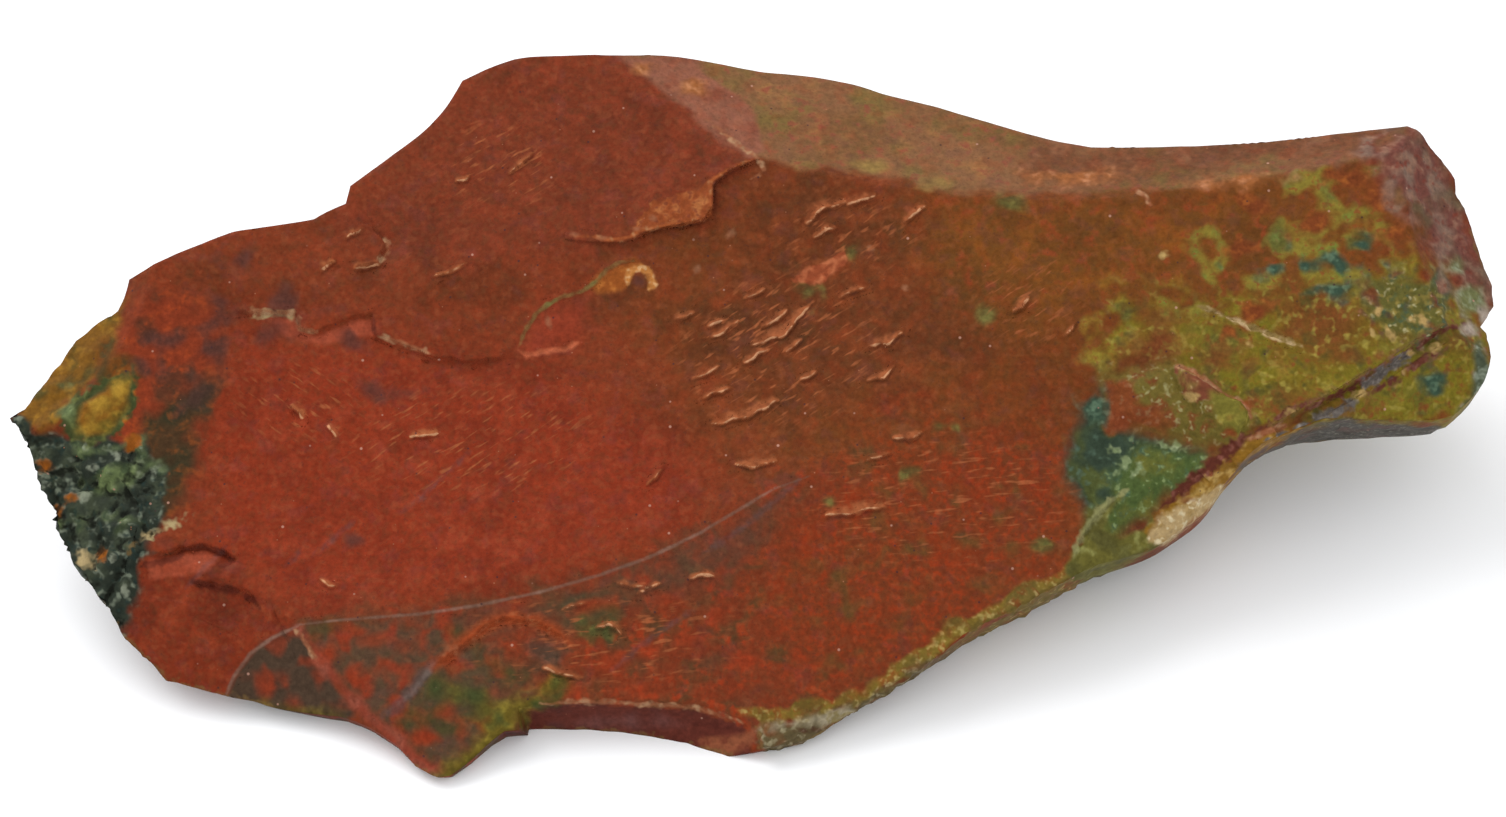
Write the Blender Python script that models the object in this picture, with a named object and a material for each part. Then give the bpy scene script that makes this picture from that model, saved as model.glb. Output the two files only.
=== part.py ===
"""A rough, unpolished chunk of red and olive jasper, broken by hand and lying on its own flat scar.

The stone is shaped as such a stone is: a blank with the outline of its broad broken face is
struck from above and below, and each strike leaves a shallow scar. Where two scars meet they
leave a ridge. The broad face is described square on to itself, in millimetres: u runs along the
stone, v across it towards the back, and w out of the face. The stone then lies tilted, with the
face leaning towards the front. Scars of the underside are described in the lying stone.
"""

import math

import bmesh
import bpy
from mathutils import Matrix, Vector, noise

MM = 0.001
WELD = 0.00001

STONE_NAME = "jasper_stone"
COLLECTION_NAME = "Jasper Stone"
CUTTER_COLLECTION_NAME = "Strikes"

# How the broad face lies: it leans forwards, and its middle is this high above the table.
FACE_LEAN = math.radians(25.0)
FACE_HEIGHT = 13.2

# The blank: thicker than the stone both ways, narrowing downwards to this share of its outline.
BLANK_TOP = 6.0
BLANK_WAIST = -6.0
BLANK_BOTTOM = -36.0
BLANK_NARROWING = 0.62
BLANK_CENTRE = (-4.0, 2.0)

# The outline of the broad face, clockwise from the left tip.
OUTLINE_UPPER_LEFT = [
    (-56.5, -0.5), (-55.6, 0.3), (-54.5, 2.0), (-53.0, 4.2), (-52.0, 5.8), (-50.5, 7.0),
    (-48.8, 8.0), (-48.3, 9.0), (-48.0, 10.5), (-46.0, 11.5), (-44.5, 12.4), (-42.0, 13.6),
    (-40.0, 14.5), (-36.0, 15.2), (-34.0, 15.6), (-33.0, 16.3), (-31.6, 16.9), (-31.3, 18.4),
    (-30.0, 19.4), (-28.0, 21.0), (-26.0, 22.6), (-24.5, 24.2), (-23.5, 25.7), (-22.8, 27.2),
]
OUTLINE_BACK = [
    (-21.0, 28.1), (-19.0, 28.9), (-17.0, 29.2), (-14.0, 29.2), (-11.0, 29.3), (-8.0, 29.7),
    (-5.5, 29.7), (-3.0, 29.4), (0.0, 28.8), (4.0, 28.6), (8.0, 28.0), (10.0, 27.2),
    (15.0, 25.8), (20.0, 23.9), (23.0, 22.9), (26.5, 22.1), (30.0, 22.0), (35.0, 22.0),
    (40.0, 22.2), (45.0, 22.7), (48.0, 23.0), (51.0, 23.2),
]
OUTLINE_RIGHT_END = [
    (52.4, 22.2), (54.0, 20.6), (54.8, 19.4), (54.9, 18.3), (55.8, 16.5), (56.2, 15.0),
    (56.9, 12.9), (57.3, 10.8), (57.4, 9.1), (56.7, 8.0), (56.0, 7.1), (56.5, 6.6),
    (56.7, 4.6), (56.1, 2.6), (55.0, 1.2), (53.6, 0.1),
]
OUTLINE_FRONT_RIGHT = [
    (52.2, -0.3), (48.0, -0.5), (45.0, -0.6), (43.0, -0.8), (40.0, -2.0), (38.0, -3.2),
    (37.0, -4.3), (36.0, -5.3), (34.5, -7.5), (32.5, -9.0), (30.5, -10.4), (28.0, -11.3),
    (26.0, -12.0), (24.2, -13.0), (22.0, -14.2), (19.5, -15.6), (18.0, -16.3), (16.0, -17.3),
    (14.0, -19.0), (12.0, -20.4), (10.0, -21.8), (8.0, -22.9), (7.0, -23.9), (5.0, -24.9),
    (3.0, -25.6),
]
OUTLINE_FRONT_LEFT = [
    (-2.3, -26.5), (-3.5, -26.0), (-5.0, -25.2), (-8.0, -24.7), (-11.0, -24.4), (-15.0, -24.5),
    (-18.5, -24.8), (-19.5, -25.5), (-21.0, -27.0), (-22.5, -28.1), (-23.8, -28.4),
    (-25.0, -27.5), (-26.5, -25.8), (-28.5, -24.4), (-30.5, -23.5), (-34.0, -23.0),
    (-37.0, -22.5), (-40.0, -22.0), (-43.0, -21.4), (-44.8, -20.7), (-46.0, -19.6),
    (-47.2, -17.8), (-48.7, -15.1), (-50.0, -13.5), (-51.8, -10.9), (-52.5, -9.4),
    (-53.4, -7.0), (-54.5, -4.3), (-55.5, -2.0),
]
OUTLINE = (
    OUTLINE_UPPER_LEFT + OUTLINE_BACK + OUTLINE_RIGHT_END + OUTLINE_FRONT_RIGHT + OUTLINE_FRONT_LEFT
)

# The plateau at the back stands above the red bowl along this short step.
PLATEAU_STEP = [
    (0.6, 20.2), (-1.2, 19.5), (-2.6, 18.6), (-3.1, 17.9), (-3.1, 16.4), (-3.8, 15.3),
    (-5.0, 15.0), (-7.5, 14.6), (-9.0, 14.0), (-10.0, 13.5), (-12.0, 13.6), (-14.5, 13.9),
]
PLATEAU_FAR_SIDE = [(-15.0, 18.0), (-15.0, 34.0), (9.0, 34.0), (5.0, 23.0)]
PLATEAU_GUARD_LOW = -8.0
PLATEAU_GUARD_HIGH = 16.0

# A thin spall left this drop-shaped scar in the red bowl.
TEARDROP = [
    (-17.9, 4.6), (-17.9, 6.0), (-17.5, 7.5), (-16.0, 8.5), (-13.0, 9.5), (-11.0, 10.8),
    (-9.5, 11.3), (-8.2, 11.0), (-7.9, 10.0), (-9.2, 8.8), (-12.0, 7.2), (-15.5, 4.4),
]
TEARDROP_FLOOR = -1.95

# The crease between the neck's upper face and the small face under it.
CREASE = [(39.8, -2.0), (42.0, -0.8), (45.0, 0.9), (48.0, 2.6), (51.0, 4.6), (53.0, 5.8), (57.5, 6.6)]
CREASE_RADIUS = 0.8
CREASE_LIFT = 0.25

# Scars of the broad face. Each entry: middle (u, v, w), direction in which it falls (degrees from
# +u towards +v), how steeply it falls (degrees), turn of its long axis about the face (degrees),
# radii of its bowl along and across that axis (negative bulges), length, width, grid cells.
FACE_SCARS = {
    "plateau": ((-26.0, 14.0, -1.6), 90, 3.2, 0, (170, 3000), (96, 60), (24, 8)),
    "broad_face": ((0.0, 8.0, 0.0), 0, 0.0, 0, (2600, -1000), (130, 84), (26, 14)),
    "red_bowl": ((-20.4, 3.9, -1.6), 0, 0.0, 17.6, (500, 101), (104, 50), (26, 14)),
    "back_bevel": ((20.0, 20.5, -2.2), 88, 30.3, -28.5, (123, -183), (100, 60), (20, 12)),
    "end_face": ((53.6, 14.0, -2.0), 12, 36.0, 90, (60, 30), (30, 20), (8, 7)),
    "neck_lower_face": ((51.0, 1.6, -1.3), -62, 24.0, 30, (60, 40), (24, 12), (8, 5)),
    "green_scoop": ((28.0, -3.4, -0.5), 0, 0.0, -20, (60, 32), (24, 18), (9, 8)),
    "green_facet": ((27.8, -9.8, -0.9), -38, 22.0, 52, (24, 60), (15, 9), (7, 4)),
    "left_skin": ((-52.5, 3.5, -1.4), 145, 16.0, 55, (60, 30), (26, 14), (8, 6)),
    "matrix_hollow": ((-50.2, -7.0, -1.5), 200, 7.0, 110, (22, 11), (22, 14), (20, 13)),
    "lower_left_face": ((-44.5, -19.0, -2.3), 245, 14.0, 24, (400, 200), (18.9, 30), (5, 7)),
    "left_step_upper": ((-43.6, -12.6, -1.15), 250, 15.0, 170, (16, 6), (7.4, 4.2), (6, 4)),
    "left_step_lower": ((-39.4, -15.0, -1.25), 245, 16.0, 155, (14, 6), (6.4, 3.8), (6, 4)),
    "spur_hollow": ((-33.4, -22.4, -2.0), 237, 22.1, 108.7, (-576, 23.4), (30, 22), (9, 9)),
    "front_lip_scar": ((-8.1, -23.8, -2.4), 260, 44.0, 15, (69, 5), (17.4, 8), (9, 8)),
    "tip_side": ((10.4, -21.2, -0.8), -64, 55.0, 26, (200, 30), (27, 8), (8, 4)),
    "cream_chip": ((33.6, -7.7, -1.7), -42, 55.0, 48, (30, 14), (9, 6), (6, 5)),
}
SCAR_REACH = 14.0

# Low unevenness of every scar, height and length of its waves, and of the coarse dark matrix.
# Each scar reads its own stretch of the noise, this far from the last one's.
WAVE = (0.16, 13.0)
MATRIX_WAVE = (0.75, 3.4)
WAVE_APART = 37.0

# The raised knot beside the green scoop: middle and half sizes.
KNOT_MIDDLE = (34.0, -0.4, -0.5)
KNOT_HALF_SIZES = (4.9, 4.0, 1.1)
KNOT_TURN = math.radians(-35.0)
KNOT_SEGMENTS = 20
KNOT_RINGS = 12

# Scars of the underside, in the lying stone: each runs under a stretch of rim between two points
# of the face (u, v, w), starts this far under it, dips inwards at this angle from level, and has
# these radii along and down. The last number is how far it reaches inwards.
UNDER_SCARS = {
    "under_front_left": ((-48.0, -18.6, -2.8), (-27.5, -24.8, -2.0), 0.5, 36, (160, 60), 26),
    "under_left_end": ((-57.3, -0.5, -1.0), (-47.6, -18.6, -2.6), 0.8, 34, (110, 90), 34),
    "under_left_tip_back": ((-57.8, -0.6, -0.8), (-48.0, 11.2, -1.0), 0.9, 52, (90, 60), 30),
    "under_left_back": ((-50.0, 11.0, -1.2), (-42.8, 13.6, -1.4), 1.0, 60, (160, 70), 34),
    "under_back_left": ((-33.6, 17.2, -1.2), (-22.8, 28.7, -2.0), 1.4, 66, (60, 70), 40),
    "under_back": ((-23.0, 29.3, -2.2), (3.0, 29.5, -4.8), 1.2, 70, (58, 60), 40),
    "under_back_right": ((4.0, 29.4, -5.2), (31.0, 22.6, -3.8), 1.3, 60, (120, 80), 40),
    "under_neck_back": ((27.0, 22.9, -3.8), (52.0, 23.8, -3.2), 1.5, 54, (60, 50), 34),
    "under_right_end": ((52.6, 24.0, -3.6), (58.6, 4.0, -3.6), 1.6, 62, (60, 50), 30),
    "neck_front_wall": ((33.5, -8.6, -1.0), (49.5, -0.6, -1.2), 0.7, 72, (60, 40), 22),
    "under_neck_front": ((33.0, -8.2, -1.4), (57.0, 0.4, -2.6), 2.3, 36, (90, 60), 30),
    "under_front_right": ((-1.0, -26.8, -1.9), (33.0, -9.4, -1.4), 0.6, 48, (200, 70), 30),
    "left_corner": ((-53.0, 6.0, -4.0), (-43.0, 15.0, -4.0), 0.0, 46, (60, 50), 30),
    "back_corner": ((-29.0, 21.5, -5.0), (-15.0, 31.5, -5.0), 0.0, 60, (50, 60), 40),
    "back_foot": ((-21.0, 29.0, -11.0), (12.0, 27.0, -14.0), 0.0, 52, (70, 50), 34),
    "neck_foot": ((16.0, 25.0, -12.0), (50.0, 22.0, -9.0), 0.0, 34, (110, 60), 34),
    "left_foot": ((-52.0, 8.0, -8.0), (-30.0, 18.0, -11.0), 0.0, 38, (60, 60), 34),
}
UNDER_MARGIN = 12.0
UNDER_OUTWARD = 16.0
UNDER_REACH = 30.0
UNDER_CELL = (5.5, 6.0)
UNDER_FEWEST_CELLS = (6, 5)
UNDER_WAVE_START = 5.0
UNDER_WAVE_APART = 11.0

# The broad hollows that lift the neck and the left tip off the table. Each entry: middle in the
# lying stone, direction in which it rises and its slope (degrees), radii, length, width, and where
# it reads the noise.
HOLLOWS = {
    "neck_hollow": ((34.0, 3.0, 3.6), 8.0, 13.0, (150.0, 70.0), (84.0, 76.0), 3.0),
    "tip_hollow": ((-42.0, 0.0, 3.9), 176.0, 20.0, (90.0, 80.0), (50.0, 60.0), 8.0),
}
HOLLOW_CELL = (6.0, 7.0)

# The flat scar that the stone rests on is cut with a box of this length, width and depth.
TABLE_SIZE = (160.0, 110.0, 50.0)

JASPER_COLOUR = (0.23, 0.037, 0.017, 1.0)
JASPER_ROUGHNESS = 0.5


def clear_scene():
    for thing in list(bpy.data.objects):
        bpy.data.objects.remove(thing)


def new_collection(name, hidden):
    collection = bpy.data.collections.new(name)
    collection.hide_render = hidden
    bpy.context.scene.collection.children.link(collection)
    return collection


def lying(face_point):
    """A point of the broad face's own frame, in the lying stone. Both in millimetres."""
    turned = Matrix.Rotation(FACE_LEAN, 3, "X") @ Vector(face_point)
    return turned + Vector((0.0, 0.0, FACE_HEIGHT))


def face_to_table():
    """The same move as a matrix, for things modelled in metres."""
    lift = Matrix.Translation((0.0, 0.0, FACE_HEIGHT * MM))
    return lift @ Matrix.Rotation(FACE_LEAN, 4, "X")


def object_from(bm, name, collection, matrix=None):
    bmesh.ops.recalc_face_normals(bm, faces=bm.faces[:])
    if matrix is not None:
        bm.transform(matrix)
    mesh = bpy.data.meshes.new(name)
    bm.to_mesh(mesh)
    bm.free()
    made = bpy.data.objects.new(name, mesh)
    collection.objects.link(made)
    return made


def as_cutter(made):
    made.hide_render = True
    made.display_type = "WIRE"
    return made


def add_polyline(curve, points, height, closed):
    """Straight runs through points (u, v) at this height, all in millimetres."""
    spline = curve.splines.new("POLY")
    spline.points.add(len(points) - 1)
    for point, (u, v) in zip(spline.points, points):
        point.co = (u * MM, v * MM, height * MM, 1.0)
    spline.use_cyclic_u = closed


def body_of_curve(curve, collection):
    """The solid that a curve draws, with its caps welded on."""
    drawn = bpy.data.objects.new(curve.name, curve)
    collection.objects.link(drawn)
    bpy.context.view_layer.update()
    shaped = drawn.evaluated_get(bpy.context.evaluated_depsgraph_get())
    mesh = bpy.data.meshes.new_from_object(shaped)
    bpy.data.objects.remove(drawn)
    bm = bmesh.new()
    bm.from_mesh(mesh)
    bpy.data.meshes.remove(mesh)
    bmesh.ops.remove_doubles(bm, verts=bm.verts[:], dist=WELD)
    return bm


def upright_slab(name, outline, low, high, collection):
    """A slab with this outline, from low to high, in the face's own frame."""
    curve = bpy.data.curves.new(name, "CURVE")
    curve.dimensions = "2D"
    curve.fill_mode = "BOTH"
    curve.extrude = (high - low) / 2 * MM
    add_polyline(curve, outline, 0.0, closed=True)
    bm = body_of_curve(curve, collection)
    bmesh.ops.translate(bm, verts=bm.verts[:], vec=(0.0, 0.0, (low + high) / 2 * MM))
    return bm


def make_blank(collection):
    """The outline as a slab down to its waist, narrowing in a straight flare below it."""
    bm = upright_slab(STONE_NAME, OUTLINE, BLANK_WAIST, BLANK_TOP, collection)
    lower_faces = [f for f in bm.faces if all(v.co.z < (BLANK_WAIST + 0.1) * MM for v in f.verts)]
    grown = bmesh.ops.extrude_face_region(bm, geom=lower_faces)
    foot = [g for g in grown["geom"] if isinstance(g, bmesh.types.BMVert)]
    bmesh.ops.delete(bm, geom=lower_faces, context="FACES")
    bmesh.ops.translate(bm, verts=foot, vec=(0.0, 0.0, (BLANK_BOTTOM - BLANK_WAIST) * MM))
    centre = Matrix.Translation((-BLANK_CENTRE[0] * MM, -BLANK_CENTRE[1] * MM, 0.0))
    bmesh.ops.scale(bm, verts=foot, vec=(BLANK_NARROWING, BLANK_NARROWING, 1.0), space=centre)
    return object_from(bm, STONE_NAME, collection, face_to_table())


def bowl(radii, size, cells, shift=(0.0, 0.0), seed=0.0, reach=SCAR_REACH, wave=WAVE):
    """A closed body above a shallow bowl whose lowest point is the origin, +Z out of the stone."""
    bm = bmesh.new()
    bmesh.ops.create_grid(bm, x_segments=cells[0], y_segments=cells[1], size=0.5)
    bmesh.ops.scale(bm, verts=bm.verts[:], vec=(size[0], size[1], 1.0))
    bmesh.ops.translate(bm, verts=bm.verts[:], vec=(shift[0], shift[1], 0.0))
    floor = bm.faces[:]
    height, length = wave
    for vert in bm.verts:
        x, y = vert.co.x, vert.co.y
        uneven = height * noise.noise(Vector((x, y, seed)) / length)
        vert.co.z = x * x / (2 * radii[0]) + y * y / (2 * radii[1]) + uneven
    grown = bmesh.ops.extrude_face_region(bm, geom=floor)
    roof = [g for g in grown["geom"] if isinstance(g, bmesh.types.BMVert)]
    for vert in roof:
        vert.co.z += reach
    bmesh.ops.scale(bm, verts=bm.verts[:], vec=(MM, MM, MM))
    return bm


def frame_at(middle, out, along):
    """The matrix that puts a body's origin at a point in millimetres, +Z out and +X along."""
    z_axis = Vector(out).normalized()
    x_axis = (Vector(along) - Vector(along).dot(z_axis) * z_axis).normalized()
    y_axis = z_axis.cross(x_axis)
    turn = Matrix((x_axis, y_axis, z_axis)).transposed().to_4x4()
    return Matrix.Translation(Vector(middle) * MM) @ turn


def face_scar(name, number, collection):
    """A strike on the broad face or its rim."""
    middle, heading, fall, turn, radii, size, cells = FACE_SCARS[name]
    heading, fall, turn = (math.radians(angle) for angle in (heading, fall, turn))
    out = (math.sin(fall) * math.cos(heading), math.sin(fall) * math.sin(heading), math.cos(fall))
    along = (math.cos(turn), math.sin(turn), 0.0)
    wave = MATRIX_WAVE if name == "matrix_hollow" else WAVE
    bm = bowl(radii, size, cells, seed=WAVE_APART * number, wave=wave)
    made = object_from(bm, name, collection, face_to_table() @ frame_at(middle, out, along))
    return as_cutter(made)


def under_scar(name, number, collection):
    """A strike that takes the stone away under a stretch of its rim."""
    first, second, drop, dip, radii, inward = UNDER_SCARS[name]
    start, end = lying(first), lying(second)
    run = end - start
    level_out = Vector((run.y, -run.x, 0.0)).normalized()
    middle = (start + end) / 2
    if level_out.dot(Vector((middle.x, middle.y, 0.0))) < 0:
        level_out = -level_out
    dip = math.radians(dip)
    out = level_out * math.sin(dip) + Vector((0.0, 0.0, -math.cos(dip)))
    out = (out - out.dot(run.normalized()) * run.normalized()).normalized()
    middle = middle + Vector((0.0, 0.0, -drop))
    size = (run.length + 2 * UNDER_MARGIN, inward + UNDER_OUTWARD)
    place = frame_at(middle, out, run)
    inwards = -level_out
    side = 1.0 if (place.to_3x3() @ Vector((0.0, 1.0, 0.0))).dot(inwards) > 0 else -1.0
    shift = (0.0, side * (inward - UNDER_OUTWARD) / 2)
    cells = [max(n, round(s / c)) for n, s, c in zip(UNDER_FEWEST_CELLS, size, UNDER_CELL)]
    seed = UNDER_WAVE_START + UNDER_WAVE_APART * number
    bm = bowl(radii, size, cells, shift=shift, seed=seed, reach=UNDER_REACH)
    return as_cutter(object_from(bm, name, collection, place))


def under_hollow(name, collection):
    """A broad scar of the underside that rises away from the resting facet."""
    middle, rise, slope, radii, size, seed = HOLLOWS[name]
    rise, slope = math.radians(rise), math.radians(slope)
    uphill = Vector((math.cos(rise), math.sin(rise), 0.0))
    out = uphill * math.sin(slope) + Vector((0.0, 0.0, -math.cos(slope)))
    cells = [round(s / c) for s, c in zip(size, HOLLOW_CELL)]
    bm = bowl(radii, size, cells, seed=seed, reach=UNDER_REACH)
    return as_cutter(object_from(bm, name, collection, frame_at(middle, out, uphill)))


def table_cutter(collection):
    """Everything under the flat scar that the stone rests on."""
    bm = bmesh.new()
    bmesh.ops.create_cube(bm, size=MM)
    bmesh.ops.scale(bm, verts=bm.verts[:], vec=TABLE_SIZE)
    bmesh.ops.translate(bm, verts=bm.verts[:], vec=(0.0, 0.0, -TABLE_SIZE[2] / 2 * MM))
    return as_cutter(object_from(bm, "resting_scar", collection))


def crease_cutter(collection):
    """A thin rod along the crease, sunk in the face by most of its radius."""
    curve = bpy.data.curves.new("crease_line", "CURVE")
    curve.dimensions = "3D"
    curve.bevel_depth = CREASE_RADIUS * MM
    curve.bevel_resolution = 1
    curve.use_fill_caps = True
    add_polyline(curve, CREASE, CREASE_LIFT, closed=False)
    return as_cutter(object_from(body_of_curve(curve, collection), "crease", collection, face_to_table()))


def knot_body(collection):
    """The raised knot as a flattened ball."""
    bm = bmesh.new()
    bmesh.ops.create_uvsphere(bm, u_segments=KNOT_SEGMENTS, v_segments=KNOT_RINGS, radius=MM)
    bmesh.ops.scale(bm, verts=bm.verts[:], vec=KNOT_HALF_SIZES)
    place = Matrix.Translation(Vector(KNOT_MIDDLE) * MM) @ Matrix.Rotation(KNOT_TURN, 4, "Z")
    return as_cutter(object_from(bm, "knot", collection, face_to_table() @ place))


def boolean(stone, other, operation):
    modifier = stone.modifiers.new(other.name, "BOOLEAN")
    modifier.object = other
    modifier.operation = operation
    modifier.solver = "EXACT"


def rest_at_origin(stone, cutters):
    """Moves stone and strikes together, so that the stone stands over the origin."""
    bpy.context.view_layer.update()
    shaped = stone.evaluated_get(bpy.context.evaluated_depsgraph_get())
    corners = [shaped.matrix_world @ Vector(corner) for corner in shaped.bound_box]
    low = Vector([min(c[axis] for c in corners) for axis in range(3)])
    high = Vector([max(c[axis] for c in corners) for axis in range(3)])
    shift = Vector((-(low.x + high.x) / 2, -(low.y + high.y) / 2, -low.z))
    for thing in [stone, *cutters]:
        thing.location += shift


def jasper_material():
    material = bpy.data.materials.new("rough jasper")
    material.use_nodes = True
    shader = material.node_tree.nodes["Principled BSDF"]
    shader.inputs["Base Color"].default_value = JASPER_COLOUR
    shader.inputs["Roughness"].default_value = JASPER_ROUGHNESS
    shader.inputs["Metallic"].default_value = 0.0
    return material


def broad_face_strikes(stone, collection):
    """Cuts the scars of the broad face, the knot standing up beside the green scoop."""
    scars = {name: face_scar(name, number, collection) for number, name in enumerate(FACE_SCARS)}
    guard_bm = upright_slab(
        "guard", PLATEAU_STEP + PLATEAU_FAR_SIDE, PLATEAU_GUARD_LOW, PLATEAU_GUARD_HIGH, collection
    )
    guard = as_cutter(object_from(guard_bm, "plateau_guard", collection, face_to_table()))
    boolean(scars["broad_face"], scars["red_bowl"], "UNION")
    boolean(scars["broad_face"], guard, "DIFFERENCE")
    knot = knot_body(collection)
    for name, scar in scars.items():
        if name == "green_scoop":
            boolean(stone, knot, "UNION")
        if name != "red_bowl":
            boolean(stone, scar, "DIFFERENCE")
    teardrop_bm = upright_slab("spall", TEARDROP, TEARDROP_FLOOR, BLANK_TOP, collection)
    teardrop = as_cutter(object_from(teardrop_bm, "teardrop", collection, face_to_table()))
    crease = crease_cutter(collection)
    boolean(stone, teardrop, "DIFFERENCE")
    boolean(stone, crease, "DIFFERENCE")
    return [guard, knot, teardrop, crease, *scars.values()]


def underside_strikes(stone, collection):
    """Cuts the scars of the underside, and last the flat one that the stone rests on."""
    scars = [under_scar(name, number, collection) for number, name in enumerate(UNDER_SCARS)]
    scars += [under_hollow(name, collection) for name in HOLLOWS]
    scars.append(table_cutter(collection))
    for scar in scars:
        boolean(stone, scar, "DIFFERENCE")
    return scars


def main():
    clear_scene()
    parts = new_collection(COLLECTION_NAME, hidden=False)
    strikes = new_collection(CUTTER_COLLECTION_NAME, hidden=True)
    stone = make_blank(parts)
    stone.data.materials.append(jasper_material())
    cutters = broad_face_strikes(stone, strikes)
    cutters += underside_strikes(stone, strikes)
    rest_at_origin(stone, cutters)


main()
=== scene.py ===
"""The looks of a rough jasper stone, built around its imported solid, as a Blender add-on."""

import math

import bmesh
import bpy
import numpy as np
from mathutils import Matrix, Vector, kdtree, noise


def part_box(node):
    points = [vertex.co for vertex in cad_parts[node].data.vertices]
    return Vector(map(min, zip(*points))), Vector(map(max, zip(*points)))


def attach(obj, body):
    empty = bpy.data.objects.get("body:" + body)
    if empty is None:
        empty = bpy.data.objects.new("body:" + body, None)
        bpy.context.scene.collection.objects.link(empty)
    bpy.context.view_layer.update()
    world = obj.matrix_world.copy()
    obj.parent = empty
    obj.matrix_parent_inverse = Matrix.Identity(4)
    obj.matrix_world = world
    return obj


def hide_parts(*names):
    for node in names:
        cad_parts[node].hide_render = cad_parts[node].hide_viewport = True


bl_info = {
    "name": "Rough Jasper Stone",
    "version": (1, 0, 0),
    "blender": (4, 5, 0),
    "location": "3D View > Sidebar > Stone",
    "description": "Dresses the packed stone as broken jasper and sets it on a pale floor",
    "category": "Object",
}

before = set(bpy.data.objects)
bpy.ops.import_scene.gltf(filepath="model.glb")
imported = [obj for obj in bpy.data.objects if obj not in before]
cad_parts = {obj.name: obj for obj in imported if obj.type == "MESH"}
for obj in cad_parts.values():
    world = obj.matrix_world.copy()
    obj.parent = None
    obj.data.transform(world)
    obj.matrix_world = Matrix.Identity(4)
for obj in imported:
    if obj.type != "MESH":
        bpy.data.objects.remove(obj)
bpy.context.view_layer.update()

MM = 0.001
NODE = "jasper_stone"

# The broad face's own frame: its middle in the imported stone, in millimetres, and its forward lean.
# u runs along the stone, v across it towards the back and w out of the face.
FACE_MIDDLE = np.array((-0.45, -1.81, 13.2))
FACE_LEAN = math.radians(25.0)

# The photograph: its size, and the camera that took it, aimed at the middle of the face.
PHOTO_WIDTH = 1506
PHOTO_HEIGHT = 817
SIGHT_DISTANCE = 300.0
SIGHT_RISE = math.radians(50.0)
SIGHT_FOCUS = 3945.0
PIXELS_PER_MM = SIGHT_FOCUS / SIGHT_DISTANCE

# The camera's sensor in its own millimetres, and the nearest thing that it draws, in metres.
SENSOR_WIDTH = 36.0
NEAREST = 0.01

# The window that lights the stone, in metres.
WINDOW_SIZE = (0.8, 0.6)
WINDOW_PLACE = (-0.45, 0.5, 0.62)

# Places on the face are points of the photograph (x, y), and on_face turns them into millimetres.
# Widths, heights and distances are real sizes, in millimetres where no comment gives another unit.

# How the imported solid's faces are split: rounds, edges that are joined or dropped because they are
# short (in metres), and the sharpest bend that an edge may have and still be turned.
SPLITS = 6
FINE_SPLITS = 2
WELD = 1e-6
SLIVER = 0.00004
RIDGE_ANGLE = math.radians(14.0)

# How squarely a triangle has to face out of the broad face, as a cosine, to be split small, and to
# be split for the lines and areas beside it. Then how far around a line's box triangles are
# measured, how near a line and how near an area they have to be, and how much longer the edges in
# the lumpy areas may be than those at the lines.
SHOWN = 0.1
FACED = 0.5
FINE_MARGIN = 1.0
FINE_REACH = 0.45
FINE_AREA_MARGIN = 0.5
MIDDLING = 1.6
FINE_STROKES = ("rim_line", "scar_lip", "ledge_edge")
FINE_AREAS = ("matrix", "knot")

# The rim of the broad face: the least bend of its edges, how far the face beyond it turns away (a
# cosine), the spacing of the points along it (in metres), and how near it the points are held.
RIM_ANGLE = math.radians(55.0)
RIM_BACK = -0.2
RIM_SPACING = 0.0002
RIM_HELD = 0.01

# Evening out: triangles whose directions differ by much more than CREASE hardly change each other,
# and the points follow in a number of rounds. SMALLEST keeps sums from being divided by nothing.
CREASE = math.radians(7.0)
FOLLOW_ROUNDS = 16
SMALLEST = 1e-20

# Corners of the solid that are rounded: place and radius.
ROUNDED = [((752, 726), 1.2)]
RELAX_ROUNDS = 30

# The surfaces of three scars, as in the solid: middle (u, v, w), turn in degrees, radii along and
# across (a negative one bulges), and fall towards the back in degrees.
BOWLS = {
    "broad": ((0.0, 8.0, 0.0), 0.0, (2600.0, -1000.0), 0.0),
    "red": ((-20.4, 3.9, -1.6), 17.6, (500.0, 101.0), 0.0),
    "plateau": ((-26.0, 14.0, -1.6), 0.0, (170.0, 3000.0), 3.2),
}

# Where scars run into each other softly: how strongly, and how far to the right or to the left of
# the middle that starts and is full. They are a little soft everywhere.
CROSSINGS = {"right": (0.6, 0.0, 12.0), "left": (0.3, 15.0, 22.0)}
CROSSING_LEAST = 0.03

# The oval scar: its outline on the face (u, v), how far around it points are levelled and over what
# height, and what counts as the solid's pocket: how deep at least, how far out and how deep at most.
SCAR_OUTLINE = [
    (-18.2, 4.2), (-18.0, 7.8), (-16.2, 9.0), (-13.0, 10.0), (-11.0, 11.3), (-9.4, 11.8), (-7.6, 11.4),
    (-7.2, 9.8), (-9.5, 8.2), (-13.0, 6.2), (-15.6, 4.0),
]
SCAR_MARGIN = 0.3
LEVEL_REACH = 1.5
POCKET_LEAST = 0.02
POCKET_MARGIN = 0.5
POCKET_MOST = 6.0

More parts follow.
